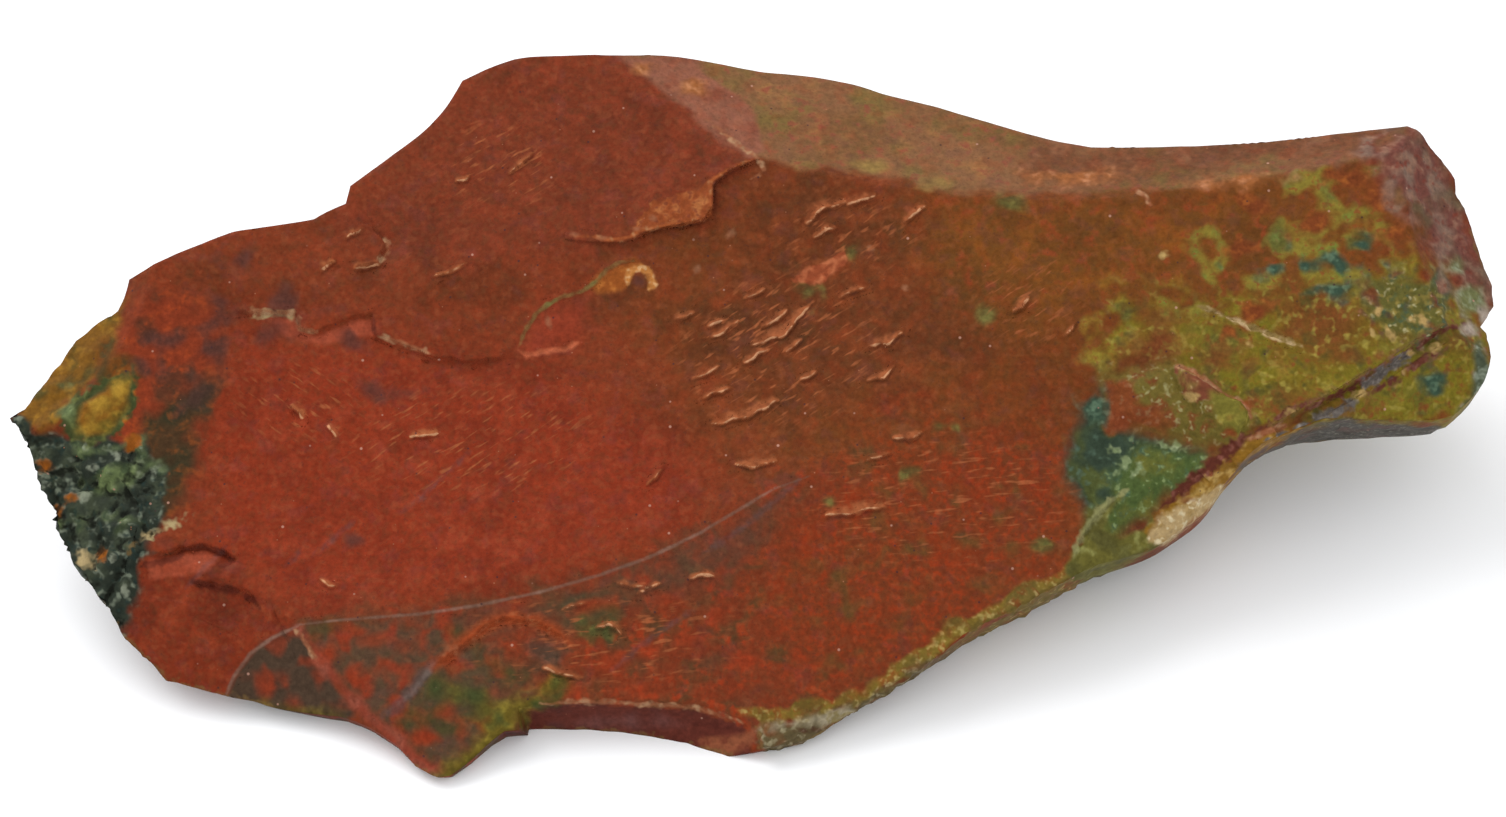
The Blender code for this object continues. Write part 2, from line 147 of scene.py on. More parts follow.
# Low steps across the face. Each falls to the right of the line's direction: line, drop, and how
# far the lower side takes to come up again.
STEPS = {
    "bowl_top": ([
        (222, 312), (262, 311), (296, 312), (298, 328), (316, 332), (352, 316), (371, 314), (373, 333),
        (400, 343), (432, 356), (470, 361), (520, 357),
    ], 0.4, 7.0),
    "scar_side": ([
        (518, 348), (526, 328), (540, 309), (560, 297), (582, 291), (596, 281), (605, 270), (618, 262),
        (634, 260), (648, 266),
    ], 0.24, 2.6),
    "scar_foot": ([(577, 343), (565, 350), (548, 351), (527, 357), (518, 352)], 0.18, 1.4),
    "lower_left_upper": ([(150, 556), (180, 547), (204, 543), (222, 551), (240, 560)], 0.75, 2.6),
    "lower_left_lower": ([(190, 579), (215, 583), (245, 590), (262, 606)], 0.6, 2.0),
    "swirl": ([(352, 268), (378, 262), (386, 243), (372, 226), (350, 218)], 0.4, 2.6),
    "swirl_tail": ([(318, 270), (332, 262), (342, 268)], 0.2, 1.6),
    "small_hinge": ([(1005, 313), (1022, 310), (1029, 297)], 0.2, 1.4),
    "lower_flake": ([
        (434, 668), (465, 642), (488, 624), (504, 618), (536, 621), (556, 632), (572, 645),
    ], 0.34, 2.8),
    "lower_flake_tail": ([(548, 668), (566, 676), (584, 678)], 0.16, 1.4),
    "blade": ([(1300, 347), (1287, 342), (1262, 333), (1240, 322), (1216, 313), (1199, 307)], 0.34, 2.0),
    "groove_lip": ([
        (1262, 438), (1292, 410), (1330, 398), (1353, 386), (1380, 368), (1405, 352), (1440, 330),
    ], 0.3, 1.4),
    "facet_edge": ([(1076, 566), (1078, 546), (1090, 524), (1112, 500)], 0.24, 1.8),
}

# A step's edge, its fading ends as a share of its length, and how soon its drop fades as a share of
# how far it reaches.
STEP_EDGE = 0.06
STEP_END = 0.12
STEP_FADE = 0.4

# Low domes: outline, height, and how far in from the outline the full height is reached.
DOMES = [
    ([
        (1112, 380), (1136, 368), (1174, 365), (1200, 400), (1238, 436), (1216, 448), (1150, 432),
        (1116, 424),
    ], 0.65, 1.4),
    ([
        (1174, 365), (1195, 373), (1222, 393), (1241, 401), (1250, 412), (1250, 425), (1238, 436),
        (1215, 430), (1196, 408), (1182, 394),
    ], 1.05, 0.5),
    ([
        (1146, 542), (1160, 518), (1190, 502), (1224, 484), (1222, 500), (1190, 524), (1164, 546),
    ], 0.2, 0.4),
    ([(1354, 388), (1362, 386), (1369, 398), (1360, 408), (1350, 402)], 0.3, 0.3),
    ([(1429, 344), (1437, 341), (1443, 347), (1437, 353), (1429, 351)], 0.26, 0.25),
    ([
        (626, 286), (628, 272), (638, 267), (649, 272), (653, 284), (646, 290), (642, 280), (634, 280),
    ], 0.14, 0.25),
    ([(92, 470), (120, 456), (146, 462), (150, 476), (120, 484), (96, 482)], 0.3, 0.5),
    ([(74, 424), (82, 402), (104, 388), (130, 378), (126, 406), (108, 430), (86, 438)], 0.26, 0.5),
]

# Bruises: thin lifted flakes, pale where they are thin. Three points and a width. The fill of a
# bruise is BRUISE_SPREAD times that wide at its widest.
BRUISES = [
    ((750, 348), (786, 336), (812, 304), 0.42), ((710, 426), (748, 418), (781, 400), 0.40),
    ((733, 466), (754, 467), (779, 462), 0.32), ((824, 518), (850, 514), (888, 509), 0.42),
    ((868, 347), (888, 345), (904, 332), 0.36), ((865, 381), (884, 378), (896, 365), 0.26),
    ((799, 381), (809, 378), (819, 372), 0.20), ((786, 355), (794, 348), (804, 339), 0.20),
    ((710, 338), (724, 333), (740, 320), 0.26), ((673, 320), (686, 318), (696, 311), 0.24),
    ((891, 439), (908, 440), (924, 434), 0.30), ((646, 487), (656, 478), (664, 469), 0.16),
    ((706, 328), (716, 325), (727, 322), 0.22), ((742, 366), (757, 356), (771, 350), 0.22),
    ((806, 226), (822, 211), (848, 203), 0.40), ((846, 206), (860, 202), (878, 197), 0.34),
    ((812, 238), (824, 234), (838, 228), 0.28), ((902, 226), (914, 215), (928, 206), 0.30),
    ((1012, 312), (1024, 308), (1030, 296), 0.34), ((408, 438), (424, 437), (440, 434), 0.34),
    ((290, 404), (298, 412), (302, 420), 0.34), ((326, 425), (332, 432), (336, 438), 0.30),
    ((455, 184), (466, 180), (470, 176), 0.22), ((508, 176), (522, 165), (534, 152), 0.24),
    ((430, 279), (452, 272), (470, 262), 0.16), ((352, 269), (368, 268), (381, 263), 0.24),
    ((320, 272), (329, 266), (336, 260), 0.28), ((345, 240), (356, 235), (366, 229), 0.20),
    ((612, 582), (630, 588), (650, 586), 0.18), ((636, 596), (648, 590), (664, 584), 0.16),
    ((688, 580), (702, 576), (716, 577), 0.26), ((594, 630), (608, 626), (622, 636), 0.22),
    ((540, 668), (560, 674), (584, 680), 0.26), ((318, 578), (328, 588), (340, 586), 0.16),
    ((690, 382), (706, 376), (722, 366), 0.18), ((700, 400), (716, 394), (734, 388), 0.18),
    ((838, 300), (852, 292), (868, 288), 0.18), ((760, 330), (776, 322), (790, 310), 0.20),
    ((864, 462), (880, 458), (894, 452), 0.14), ((742, 300), (756, 296), (768, 288), 0.16),
    ((560, 612), (574, 606), (590, 604), 0.14), ((1062, 338), (1072, 330), (1078, 320), 0.14),
]
BRUISE_SPREAD = 2.1

# Height of a bruise's edge, and the fill's width from which it has that height. It fades backwards
# over BRUISE_BACK and the fill's width. In front of it a hollow fades over BRUISE_FALL, with
# BRUISE_SINK of the height as its depth. BRUISE_TAPER is the power that makes the ends blunt, and
# nothing is drawn farther than BRUISE_MARGIN outside the line's box.
BRUISE_LIFT = 0.17
BRUISE_LIFT_WIDTH = 0.35
BRUISE_BACK = 0.5
BRUISE_FALL = 0.4
BRUISE_SINK = 0.6
BRUISE_TAPER = 0.6
BRUISE_MARGIN = 2.5

# Lines of steps and bruises are ragged: size and length of that. A fill at least
# BRUISE_RAGGED_WIDTH wide has all of it.
RAGGED = (0.2, 0.8)
BRUISE_RAGGED_WIDTH = 0.5

# A bruise's fill: the softness of its edge, the share of its width at which it starts to fade, how
# much farther than its width it fades, and the width from which it is full.
FILL_EDGE = 0.2
FILL_WHOLE = 0.3
FILL_FADE = 0.1
FILL_WIDTH = 0.25

# The bright edge and the dark line of painted shadow before it: the middle of each, behind the
# bruise's line or in front of it (negative), and the fill's width from which it is full. Both reach equally
# far.
BRUISE_BANDS = {"bruise_lip": (0.1, 0.4), "bruise_shade": (-0.16, 0.3)}
BAND_REACH = 0.16

# Low unevenness of the broken surfaces: height and length of the waves.
WAVES = [(0.07, 7.0), (0.035, 2.4), (0.014, 0.9)]

# Where the surface is lumpy: height of its lumps and their size.
ROUGH = {
    "matrix": (0.55, 2.4), "left_skin": (0.14, 2.0), "groove": (0.12, 0.9), "groove_grey": (0.16, 0.8),
    "mauve_end": (0.16, 2.0), "rim_crust": (0.16, 1.0), "olive_rim": (0.22, 1.3), "tip_side": (0.2, 1.0),
    "left_blend": (0.05, 1.8), "nodule_skin": (0.1, 1.0), "neck_under": (0.14, 1.2), "teal": (0.1, 0.9),
    "green": (0.07, 0.9), "crystals": (0.2, 0.9), "knot": (0.08, 1.2), "olive": (0.035, 1.4),
    "cream_chip": (0.08, 0.8), "ledge": (0.08, 1.0),
}

# How the lumps begin at an outline, how strong the finer ones among them are, and the level that
# they rise and sink around. At the rim they have a share of their height, and all of it farther in.
LUMP_EDGE = (-0.4, 0.8)
FINE_LUMPS = 0.6
LUMP_LEVEL = 0.8
LUMPS_AT_RIM = 0.35
LUMPS_FROM_RIM = (0.0, 1.2)

# Worn rims: depth of the chips, how far in they reach, their length, how many there are (a higher
# level leaves fewer gaps), where the crust's wear begins, how much that adds, and the wear below
# which nothing is drawn.
RIM_WEAR = 0.12
RIM_WEAR_WIDTH = 0.45
CHIP_LENGTH = 1.7
CHIP_LEVEL = 0.35
CRUST_EDGE = (-0.8, 0.2)
CRUST_WEAR = 2.5
LEAST_WEAR = 0.05

# Where each noise of the relief starts. Waves and lumps add their number to theirs.
RAGGED_SEED = 80.0
WAVE_SEED = 3.0
LUMP_SEED = 20.0
FINE_LUMP_SEED = 40.0
CHIP_SEED = 60.0

# Between which cosines the surface comes to face out of the broad face, turns to the underside, and
# comes to carry strokes and spots. Steps and bruises fade in from the rim over RIM_CLEAR. Points
# nearer than RESTING to the ground stay on it.
ON_TOP = (0.35, 0.75)
UNDER = (0.0, 0.5)
MARKED = (-0.2, 0.2)
RIM_CLEAR = (0.0, 0.8)
RESTING = 0.05

# Short pale scratches of crushed stone, too fine to model: their slope on the face, and where they
# are (spots as in PAINT).
STREAKS = {
    "streaks_rising": (32.0, [
        (780, 350, 120, 90, 0), (850, 235, 90, 50, 0), (500, 165, 80, 60, 0), (1030, 300, 60, 60, 0),
        (470, 440, 150, 70, 0),
    ]),
    "streaks_flat": (6.0, [(600, 640, 170, 60, 0), (940, 500, 150, 80, 0)]),
    "streaks_falling": (-32.0, [(300, 400, 80, 55, 0)]),
}

# The pattern of the scratches: its size, the values between which they appear, how far in from a
# field's outline they are full, and their share.
STREAK_SIZE = (1.5, 0.32, 0.8)
STREAK_RANGE = (0.58, 0.74)
STREAK_FADE = 2.5
STREAK_SHARE = 0.7

# What the stone's colours are made of, with painted light and shade among them: the entries whose
# names or comments say shade, shadow, sheen, reflection or highlight. Each entry lies over those
# before it: its name, its kind (an area's outlines, spots as x, y, half length, half width and turn,
# or strokes as a line and a width), its shapes, how softly its edge fades, how far its edge wanders,
# its own colour (a colour of the stone's settings or an sRGB value), and mottles over that: colour,
# pattern, and the pattern's values at which it starts and is full. The half sizes of spots are in photo
# pixels.
GROUND = [
    ("middle", "area", [[
        (640, 215), (740, 165), (940, 190), (1150, 190), (1340, 160), (1440, 200), (1400, 420),
        (1240, 470), (1080, 575), (940, 640), (860, 600), (800, 500), (700, 420), (640, 320),
    ]], 6.0, 3.0, "brown", [("5c3018", "patches", -0.02, 0.14), ("7e3c1c", "blots", 0.0, 0.14)]),
    ("shaded_middle", "area", [[
        (712, 190), (760, 166), (860, 178), (930, 196), (1000, 240), (980, 330), (900, 400), (780, 420),
        (690, 370), (690, 260),
    ]], 4.0, 2.5, "663219", [("74391c", "blots", -0.02, 0.1), ("573018", "patches", 0.0, 0.12)]),
    ("tan", "area", [[
        (930, 196), (1150, 192), (1330, 168), (1420, 230), (1320, 300), (1180, 300), (1040, 330),
        (930, 270),
    ]], 4.0, 2.0, "tan", [
        ("874c1a", "blots", 0.0, 0.14), ("653c18", "patches", 0.0, 0.14),
        ("7c3a1c", "mottle", 0.04, 0.14),
    ]),
    ("plateau", "area", [[
        (330, 215), (450, 90), (520, 50), (650, 50), (770, 155), (712, 185), (706, 215), (640, 240),
        (520, 262), (400, 262), (345, 240),
    ]], 2.0, 1.0, "plateau", [("672d1a", "patches", -0.02, 0.14), ("7d3620", "blots", 0.02, 0.16)]),
    ("bevel", "area", [[
        (620, 50), (760, 60), (1090, 140), (1400, 118), (1412, 134), (1395, 150), (1330, 170),
        (1160, 190), (1040, 192), (940, 193), (925, 184), (860, 172), (757, 161), (700, 118), (650, 76),
    ]], 0.35, 0.3, "bevel", [
        ("6c4a26", "clouds", -0.04, 0.12), ("93683e", "blots", 0.04, 0.18),
        ("765f33", "patches", 0.03, 0.14), ("7c4230", "mottle", 0.04, 0.16),
    ]),
    # Painted reflection: the bevel's back corner, pale where it catches the bright ground at a glancing
    # angle.
    ("bevel_haze", "area", [[
        (620, 56), (690, 56), (752, 110), (764, 150), (752, 160), (720, 140), (670, 96),
    ]], 0.35, 0.3, "8a5642", [("784432", "blots", 0.0, 0.14)]),
    ("bevel_pink", "area", [[
        (1030, 140), (1110, 146), (1400, 118), (1412, 134), (1330, 160), (1200, 172), (1080, 186),
        (1020, 180),
    ]], 1.4, 1.0, "6e4229", [("80543a", "blots", 0.0, 0.16), ("623a24", "patches", 0.0, 0.14)]),
    ("red_bowl", "area", [[
        (200, 560), (190, 430), (232, 330), (372, 330), (470, 362), (560, 372), (640, 420), (700, 470),
        (690, 530), (600, 572), (480, 603), (300, 620),
    ]], 4.0, 1.5, "brick", [("782b17", "patches", -0.02, 0.14), ("8c3720", "blots", 0.02, 0.16)]),
    ("lower_side", "area", [[
        (296, 626), (420, 613), (540, 592), (640, 560), (720, 518), (790, 470), (880, 450), (960, 520),
        (1000, 600), (940, 660), (860, 716), (760, 760), (540, 760), (440, 790),
    ]], 1.6, 1.0, "78321a", [
        ("503a22", "blots", -0.05, 0.09), ("8c3216", "mottle", 0.02, 0.12),
        ("4c3a28", "patches", 0.02, 0.16),
    ]),
    # Painted shade over the lower side's own grey-brown: darker just under the ridge, where the lower side
    # turns from the light.
    ("under_rim", "area", [[
        (300, 627), (420, 615), (540, 594), (640, 562), (730, 516), (790, 484), (800, 520), (720, 580),
        (600, 620), (480, 640), (380, 650),
    ]], 1.2, 1.2, "54392a", [("84321c", "blots", 0.02, 0.1), ("46402a", "patches", 0.02, 0.14)]),
    ("red_side", "area", [[
        (790, 520), (880, 420), (1050, 400), (1095, 440), (1070, 560), (980, 640), (880, 700), (800, 700),
        (760, 600),
    ]], 4.0, 2.5, "76351a", [
        ("8a3214", "speckle", -0.02, 0.14), ("5e401f", "blots", 0.0, 0.14),
        ("843014", "patches", 0.02, 0.14),
    ]),
    ("spur", "area", [[
        (298, 626), (370, 620), (440, 612), (500, 650), (540, 690), (500, 770), (440, 790), (380, 730),
        (330, 680),
    ]], 1.0, 0.8, "533d2c", [("84301a", "blots", 0.0, 0.09), ("40401f", "patches", 0.0, 0.14)]),
    ("lower_left", "area", [[
        (130, 570), (150, 548), (205, 542), (262, 592), (296, 626), (252, 656), (224, 700), (150, 720),
        (90, 640),
    ]], 0.6, 0.3, "782d17", [("642716", "patches", -0.02, 0.12), ("84351c", "blots", 0.02, 0.16)]),
]

# Fine tints over the broad colours: shade, pattern, where it starts and is full, and its share.
TINTS = [
    ("54462a", "fleck", -0.02, 0.2, 0.16), ("883116", "veil", 0.0, 0.18, 0.2),
    ("63383a", "veil", -0.04, -0.2, 0.16), ("905434", "fleck", -0.04, -0.2, 0.18),
    ("34201a", "grit", 0.06, 0.22, 0.35),
]

DETAILS = [
    ("small_facet", "area", [[
        (222, 704), (240, 668), (262, 642), (296, 627), (322, 664), (356, 716), (300, 740),
    ]], 0.3, 0.2, "48372a", [("74301c", "blots", 0.02, 0.14)]),
    ("spur_band", "area", [[
        (296, 626), (308, 634), (350, 690), (392, 732), (452, 776), (440, 792), (414, 772), (372, 728),
        (334, 686),
    ]], 0.4, 0.3, "863a28", [("945240", "blots", -0.02, 0.14), ("6e3424", "mottle", 0.02, 0.12)]),
    ("spur_red", "spots", [
        (330, 652, 10, 7, -20), (372, 640, 12, 7, 0), (352, 674, 9, 6, 30), (404, 646, 9, 6, 0),
        (388, 668, 8, 5, -30), (425, 742, 10, 7, 20), (448, 712, 8, 6, 0), (462, 734, 7, 6, 0),
        (484, 728, 6, 7, 0), (412, 626, 10, 4, 0), (266, 690, 8, 7, 0), (256, 714, 8, 5, 0),
        (282, 676, 7, 5, 0), (294, 702, 6, 5, 0), (500, 690, 8, 5, 20), (560, 690, 16, 6, -5),
        (610, 664, 14, 8, 10), (648, 650, 10, 7, 0), (690, 640, 12, 7, 0), (640, 690, 16, 5, 0),
        (716, 616, 10, 6, 20), (590, 606, 12, 5, 15), (520, 604, 12, 4, 10), (668, 600, 9, 6, 0),
        (744, 660, 12, 8, 0),
    ], 0.7, 0.5, "8a3218", []),
    ("lip", "area", [[
        (500, 724), (540, 706), (584, 703), (638, 706), (693, 709), (744, 726), (752, 760), (500, 760),
    ]], 0.2, 0.15, "5c2a20", [("68382e", "clouds", -0.06, 0.1), ("44201a", "blots", 0.0, 0.14)]),
    ("lip_sheen", "spots", [(610, 722, 34, 6, 0), (664, 722, 14, 5, -6)], 0.6, 0.3, "6e4844", []),
    ("lip_end", "area", [[
        (696, 738), (730, 734), (758, 728), (756, 744), (722, 762), (704, 754),
    ]], 0.3, 0.2, "8a4e34", [("6a3424", "mottle", 0.0, 0.12)]),
    ("olive", "area", [[
        (1130, 300), (1190, 300), (1250, 290), (1300, 262), (1360, 270), (1420, 262), (1500, 300),
        (1500, 440), (1290, 440), (1240, 440), (1190, 400), (1130, 372), (1100, 340),
    ]], 2.0, 2.2, "olive", [
        ("8a7a2c", "blots", 0.0, 0.14), ("5c5c28", "patches", 0.0, 0.14), ("6c3c1c", "clouds", 0.0, 0.1),
        ("70401e", "mottle", 0.03, 0.12), ("96873c", "fleck", 0.06, 0.16), ("7c3a1c", "net", 0.01, 0.05),
        ("4e4a22", "veil", 0.05, 0.14),
    ]),
    ("olive_rust", "spots", [
        (1222, 356, 30, 12, -8), (1292, 332, 12, 10, 0), (1148, 348, 18, 12, 30), (1352, 354, 12, 8, 0),
        (1276, 352, 10, 6, 20), (1340, 410, 14, 6, 10), (1170, 316, 18, 8, 0),
    ], 0.9, 0.9, "73371e", [("6a5424", "mottle", 0.0, 0.12)]),
    ("rim_crust", "strokes", [
        ([(744, 712), (780, 716), (842, 712), (880, 690), (905, 672), (945, 642), (985, 622), (1030, 598),
          (1078, 571), (1108, 556)], 1.5),
    ], 0.35, 0.7, "7a6428", [
        ("84481e", "mottle", 0.0, 0.1), ("a08c50", "speckle", 0.04, 0.14),
        ("5a4a20", "blots", 0.04, 0.12),
    ]),
    ("olive_rim", "area", [[
        (840, 744), (900, 680), (960, 644), (1010, 608), (1075, 572), (1100, 562), (1120, 600),
        (900, 760),
    ]], 0.7, 0.9, "6e5c2c", [("74401e", "mottle", 0.02, 0.1), ("988654", "speckle", 0.08, 0.16)]),
    ("spur_olive", "strokes", [
        ([(536, 700), (510, 712), (494, 738), (470, 764), (440, 782)], 2.4),
        ([(452, 690), (476, 700), (492, 716)], 1.4),
        ([(232, 708), (262, 712), (300, 720), (340, 722)], 1.2), ([(540, 690), (560, 682)], 1.2),
    ], 0.9, 0.7, "63541c", [("7c6c28", "mottle", 0.0, 0.12), ("3c4420", "blots", 0.02, 0.12)]),
    ("spur_green", "spots", [
        (470, 696, 14, 16, 0), (600, 626, 16, 10, 20), (436, 688, 10, 14, 20),
    ], 1.0, 0.6, "3c4424", []),
    ("left_blend", "area", [[
        (104, 440), (120, 330), (150, 288), (206, 300), (226, 330), (212, 380), (196, 440), (186, 490),
        (176, 530), (150, 556), (128, 600),
    ]], 0.9, 1.0, "80341c", [("55301f", "blots", -0.02, 0.1), ("8e3a1a", "mottle", 0.02, 0.14)]),
    ("dark_olive", "area", [[
        (140, 420), (172, 400), (206, 372), (214, 384), (198, 440), (190, 490), (172, 524), (148, 530),
        (140, 450),
    ]], 1.0, 0.6, "47321e", [("30301f", "blots", -0.06, 0.08), ("6a3c1c", "mottle", 0.02, 0.14)]),
    ("left_skin", "area", [[
        (0, 400), (60, 330), (112, 290), (126, 300), (112, 352), (94, 384), (66, 412), (40, 440),
    ]], 0.6, 0.5, "765018", [("4e441c", "blots", -0.02, 0.1), ("8c6420", "mottle", 0.02, 0.14)]),
    ("skin_brown", "spots", [
        (112, 366, 34, 20, -60),
    ], 0.7, 0.5, "6c4018", [("43351c", "mottle", -0.02, 0.1)]),
    ("skin_streaks", "strokes", [
        ([(96, 350), (84, 380), (70, 408)], 0.5), ([(112, 340), (104, 366), (96, 384)], 0.6),
        ([(72, 372), (56, 396)], 0.4),
    ], 0.3, 0.3, "3c3a1e", []),
    # Painted light: the ledge faces below the steps, lighter where they face the light.
    ("ledge_planes", "area", [
        [(262, 314), (297, 316), (300, 330), (317, 335), (352, 320), (372, 318), (373, 334), (352, 336),
         (318, 344), (284, 334)],
        [(148, 560), (180, 551), (204, 547), (220, 555), (206, 572), (176, 576), (150, 580)],
    ], 0.25, 0.1, "9e4a32", [("8a3c26", "blots", 0.02, 0.14)]),
    ("skin_orange", "area", [[
        (118, 372), (134, 366), (136, 396), (126, 420), (112, 424), (116, 396),
    ]], 0.3, 0.3, "90501a", [("a4661e", "mottle", 0.0, 0.1)]),
    ("matrix", "area", [[
        (0, 400), (40, 428), (72, 440), (96, 436), (142, 440), (158, 466), (162, 500), (168, 526),
        (146, 556), (142, 590), (122, 640), (60, 600), (0, 480),
    ]], 0.5, 0.8, "matrix", [
        ("4c5340", "blots", 0.0, 0.16), ("1a211c", "mottle", 0.0, 0.14), ("7a8270", "fleck", 0.06, 0.2),
        ("22302c", "speckle", 0.06, 0.2),
    ]),
    ("nodule_skin", "area", [[
        (62, 424), (72, 398), (98, 382), (134, 368), (136, 404), (116, 436), (90, 446), (70, 440),
    ]], 0.25, 0.3, "3e4424", [("5e6234", "mottle", 0.0, 0.12)]),
    ("amber_nodule", "area", [[
        (74, 424), (82, 402), (104, 388), (130, 378), (126, 406), (108, 430), (86, 438),
    ]], 0.4, 0.4, "82561a", [("5c5620", "blots", -0.04, 0.14), ("96742a", "fleck", 0.02, 0.18)]),
    # Painted highlight on the amber nodule.
    ("amber_glow", "spots", [
        (84, 430, 10, 5, 10), (100, 404, 8, 5, 40), (120, 392, 7, 5, 20),
    ], 0.4, 0.3, "a07c2c", []),
    ("pale_green", "spots", [
        (116, 474, 30, 10, 20), (70, 412, 5, 16, 15), (128, 446, 12, 5, 30), (60, 520, 9, 6, 0),
        (122, 520, 12, 7, 0), (96, 452, 10, 5, 0),
    ], 0.5, 0.6, "66744a", [("84905f", "fleck", 0.0, 0.16), ("3c4830", "mottle", 0.02, 0.16)]),
    ("amber_specks", "spots", [
        (44, 465, 6, 4, 0), (56, 514, 5, 7, 0), (102, 555, 4, 6, 0), (132, 442, 9, 8, 0),
        (70, 500, 4, 3, 0),
    ], 0.25, 0.25, "8a4e18", []),
    ("cream_specks", "spots", [
        (84, 560, 8, 9, 40), (171, 525, 12, 3, 32), (274, 312, 14, 4, 0), (147, 536, 5, 4, 0),
    ], 0.25, 0.25, "a8946a", [("8c7a5a", "grit", 0.05, 0.12)]),
    ("grey_blots", "spots", [
        (196, 390, 15, 8, 60), (168, 343, 16, 8, 5), (212, 350, 14, 10, 20), (147, 364, 9, 6, 0),
        (245, 264, 14, 12, 0), (214, 322, 18, 6, 40), (290, 300, 14, 10, 0), (352, 340, 10, 7, 0),
        (226, 300, 10, 8, 0), (262, 338, 12, 6, 20), (370, 392, 8, 5, 0), (354, 542, 5, 5, 0),
        (312, 300, 8, 6, 0), (398, 396, 5, 4, 0), (440, 500, 4, 3, 0),
    ], 0.8, 0.8, "4c302a", []),
    ("teal", "area", [[
        (1062, 470), (1072, 440), (1086, 396), (1106, 390), (1114, 424), (1150, 434), (1216, 452),
        (1180, 482), (1130, 496), (1096, 520), (1078, 500),
    ]], 0.9, 0.6, "323f31", [("484e26", "blots", -0.02, 0.1), ("4c6050", "fleck", 0.04, 0.18)]),
    ("green", "area", [[
        (1108, 474), (1140, 446), (1216, 452), (1200, 478), (1150, 512), (1112, 540), (1084, 562),
        (1090, 520), (1112, 496),
    ]], 0.9, 0.5, "4a5a2e", [
        ("66642a", "blots", -0.04, 0.12), ("3a5240", "mottle", 0.02, 0.16),
        ("7a8858", "speckle", 0.1, 0.2),
    ]),
    ("pale_crystals", "spots", [
        (1126, 460, 10, 4, 70), (1112, 450, 5, 3, 0), (1170, 446, 5, 3, 0), (1140, 470, 4, 6, 0),
    ], 0.25, 0.4, "76845c", [("98a07c", "speckle", 0.0, 0.16)]),
    ("olive_facet", "area", [[
        (1068, 572), (1076, 545), (1096, 512), (1122, 494), (1100, 532), (1120, 540), (1164, 512),
        (1160, 540), (1120, 572), (1086, 590),
    ]], 0.3, 0.4, "66602a", [("7c7a44", "mottle", 0.0, 0.12), ("4e4a24", "blots", 0.0, 0.12)]),
    ("facet_crest", "strokes", [
        ([(1072, 562), (1078, 542), (1090, 522), (1110, 500), (1128, 490)], 0.4),
    ], 0.2, 0.2, "8c8a5c", []),
    ("knot", "area", [[
        (1100, 378), (1136, 366), (1176, 362), (1212, 380), (1248, 412), (1252, 432), (1220, 452),
        (1150, 434), (1116, 424),
    ]], 0.9, 0.5, "6a5c28", [("6c3a1e", "mottle", 0.0, 0.12), ("8c865a", "speckle", 0.08, 0.18)]),
    ("knot_red", "area", [[
        (1108, 384), (1126, 380), (1136, 396), (1150, 412), (1172, 426), (1166, 436), (1146, 430),
        (1108, 432),
    ]], 0.5, 0.6, "7e321c", [("6c3a22", "mottle", 0.02, 0.14)]),
    ("knot_leaf", "area", [[
        (1174, 366), (1195, 373), (1222, 393), (1216, 404), (1196, 404), (1182, 392),
    ]], 0.2, 0.2, "74402c", [("86783c", "blots", -0.04, 0.08), ("a88862", "mottle", 0.06, 0.14)]),
    ("knot_dome", "area", [[
        (1206, 394), (1222, 393), (1241, 401), (1250, 412), (1250, 425), (1238, 436), (1214, 424),
    ]], 0.5, 0.3, "726a2a", [("94883c", "mottle", 0.0, 0.14), ("84381e", "blots", 0.08, 0.16)]),
    ("olive_yellow", "strokes", [
        ([(1199, 232), (1196, 250), (1204, 266), (1216, 288)], 0.7), ([(1200, 234), (1222, 238)], 0.5),
        ([(1312, 192), (1330, 200), (1346, 214), (1330, 230)], 1.6),
        ([(1282, 222), (1272, 244), (1284, 262)], 0.6), ([(1290, 226), (1320, 232), (1352, 236)], 0.7),
        ([(1160, 300), (1180, 312), (1210, 306)], 1.0), ([(1386, 158), (1376, 168), (1362, 172)], 0.5),
        ([(1390, 180), (1404, 196), (1420, 206)], 0.9), ([(1222, 238), (1226, 256), (1214, 270)], 0.5),
        ([(1240, 280), (1262, 284), (1280, 276)], 0.6),
        ([(1286, 196), (1300, 184), (1318, 178), (1336, 184)], 0.8),
        ([(1344, 204), (1366, 212), (1384, 230), (1392, 250)], 1.0),
        ([(1296, 250), (1320, 250), (1340, 244)], 1.2), ([(1300, 274), (1330, 276), (1364, 272)], 1.0),
    ], 0.5, 0.7, "82722c", [("64702e", "mottle", 0.0, 0.12), ("7a4020", "speckle", 0.06, 0.16)]),
    ("green_blobs", "spots", [
        (1332, 197, 9, 7, 0), (1359, 244, 14, 10, 20), (1276, 180, 7, 4, 0), (1275, 240, 5, 12, -10),
        (1125, 316, 7, 6, 0), (1408, 190, 12, 6, -40), (990, 315, 9, 5, 0), (906, 474, 8, 9, 0),
        (830, 501, 5, 5, 0), (803, 292, 12, 6, -30), (1010, 202, 8, 5, 0), (1090, 660, 6, 5, 0),
        (590, 632, 11, 9, 0), (940, 428, 4, 3, 0), (1040, 545, 7, 8, 0), (1000, 490, 5, 5, 0),
        (1444, 166, 9, 14, 20), (852, 248, 5, 4, 0),
    ], 0.5, 0.7, "465029", [("66703a", "mottle", 0.0, 0.12)]),
    ("teal_blobs", "spots", [
        (1312, 265, 34, 5, 3), (1348, 262, 18, 6, -10), (1382, 296, 12, 12, 0), (1438, 296, 13, 24, 15),
        (1435, 382, 14, 12, 0), (1420, 310, 10, 8, 0), (1330, 290, 8, 4, 0), (1366, 256, 8, 12, 0),
        (1094, 660, 6, 5, 0), (1090, 404, 12, 16, 0),
    ], 0.5, 0.9, "35493a", [("5c735c", "fleck", 0.02, 0.12)]),
    ("neck_rust", "spots", [
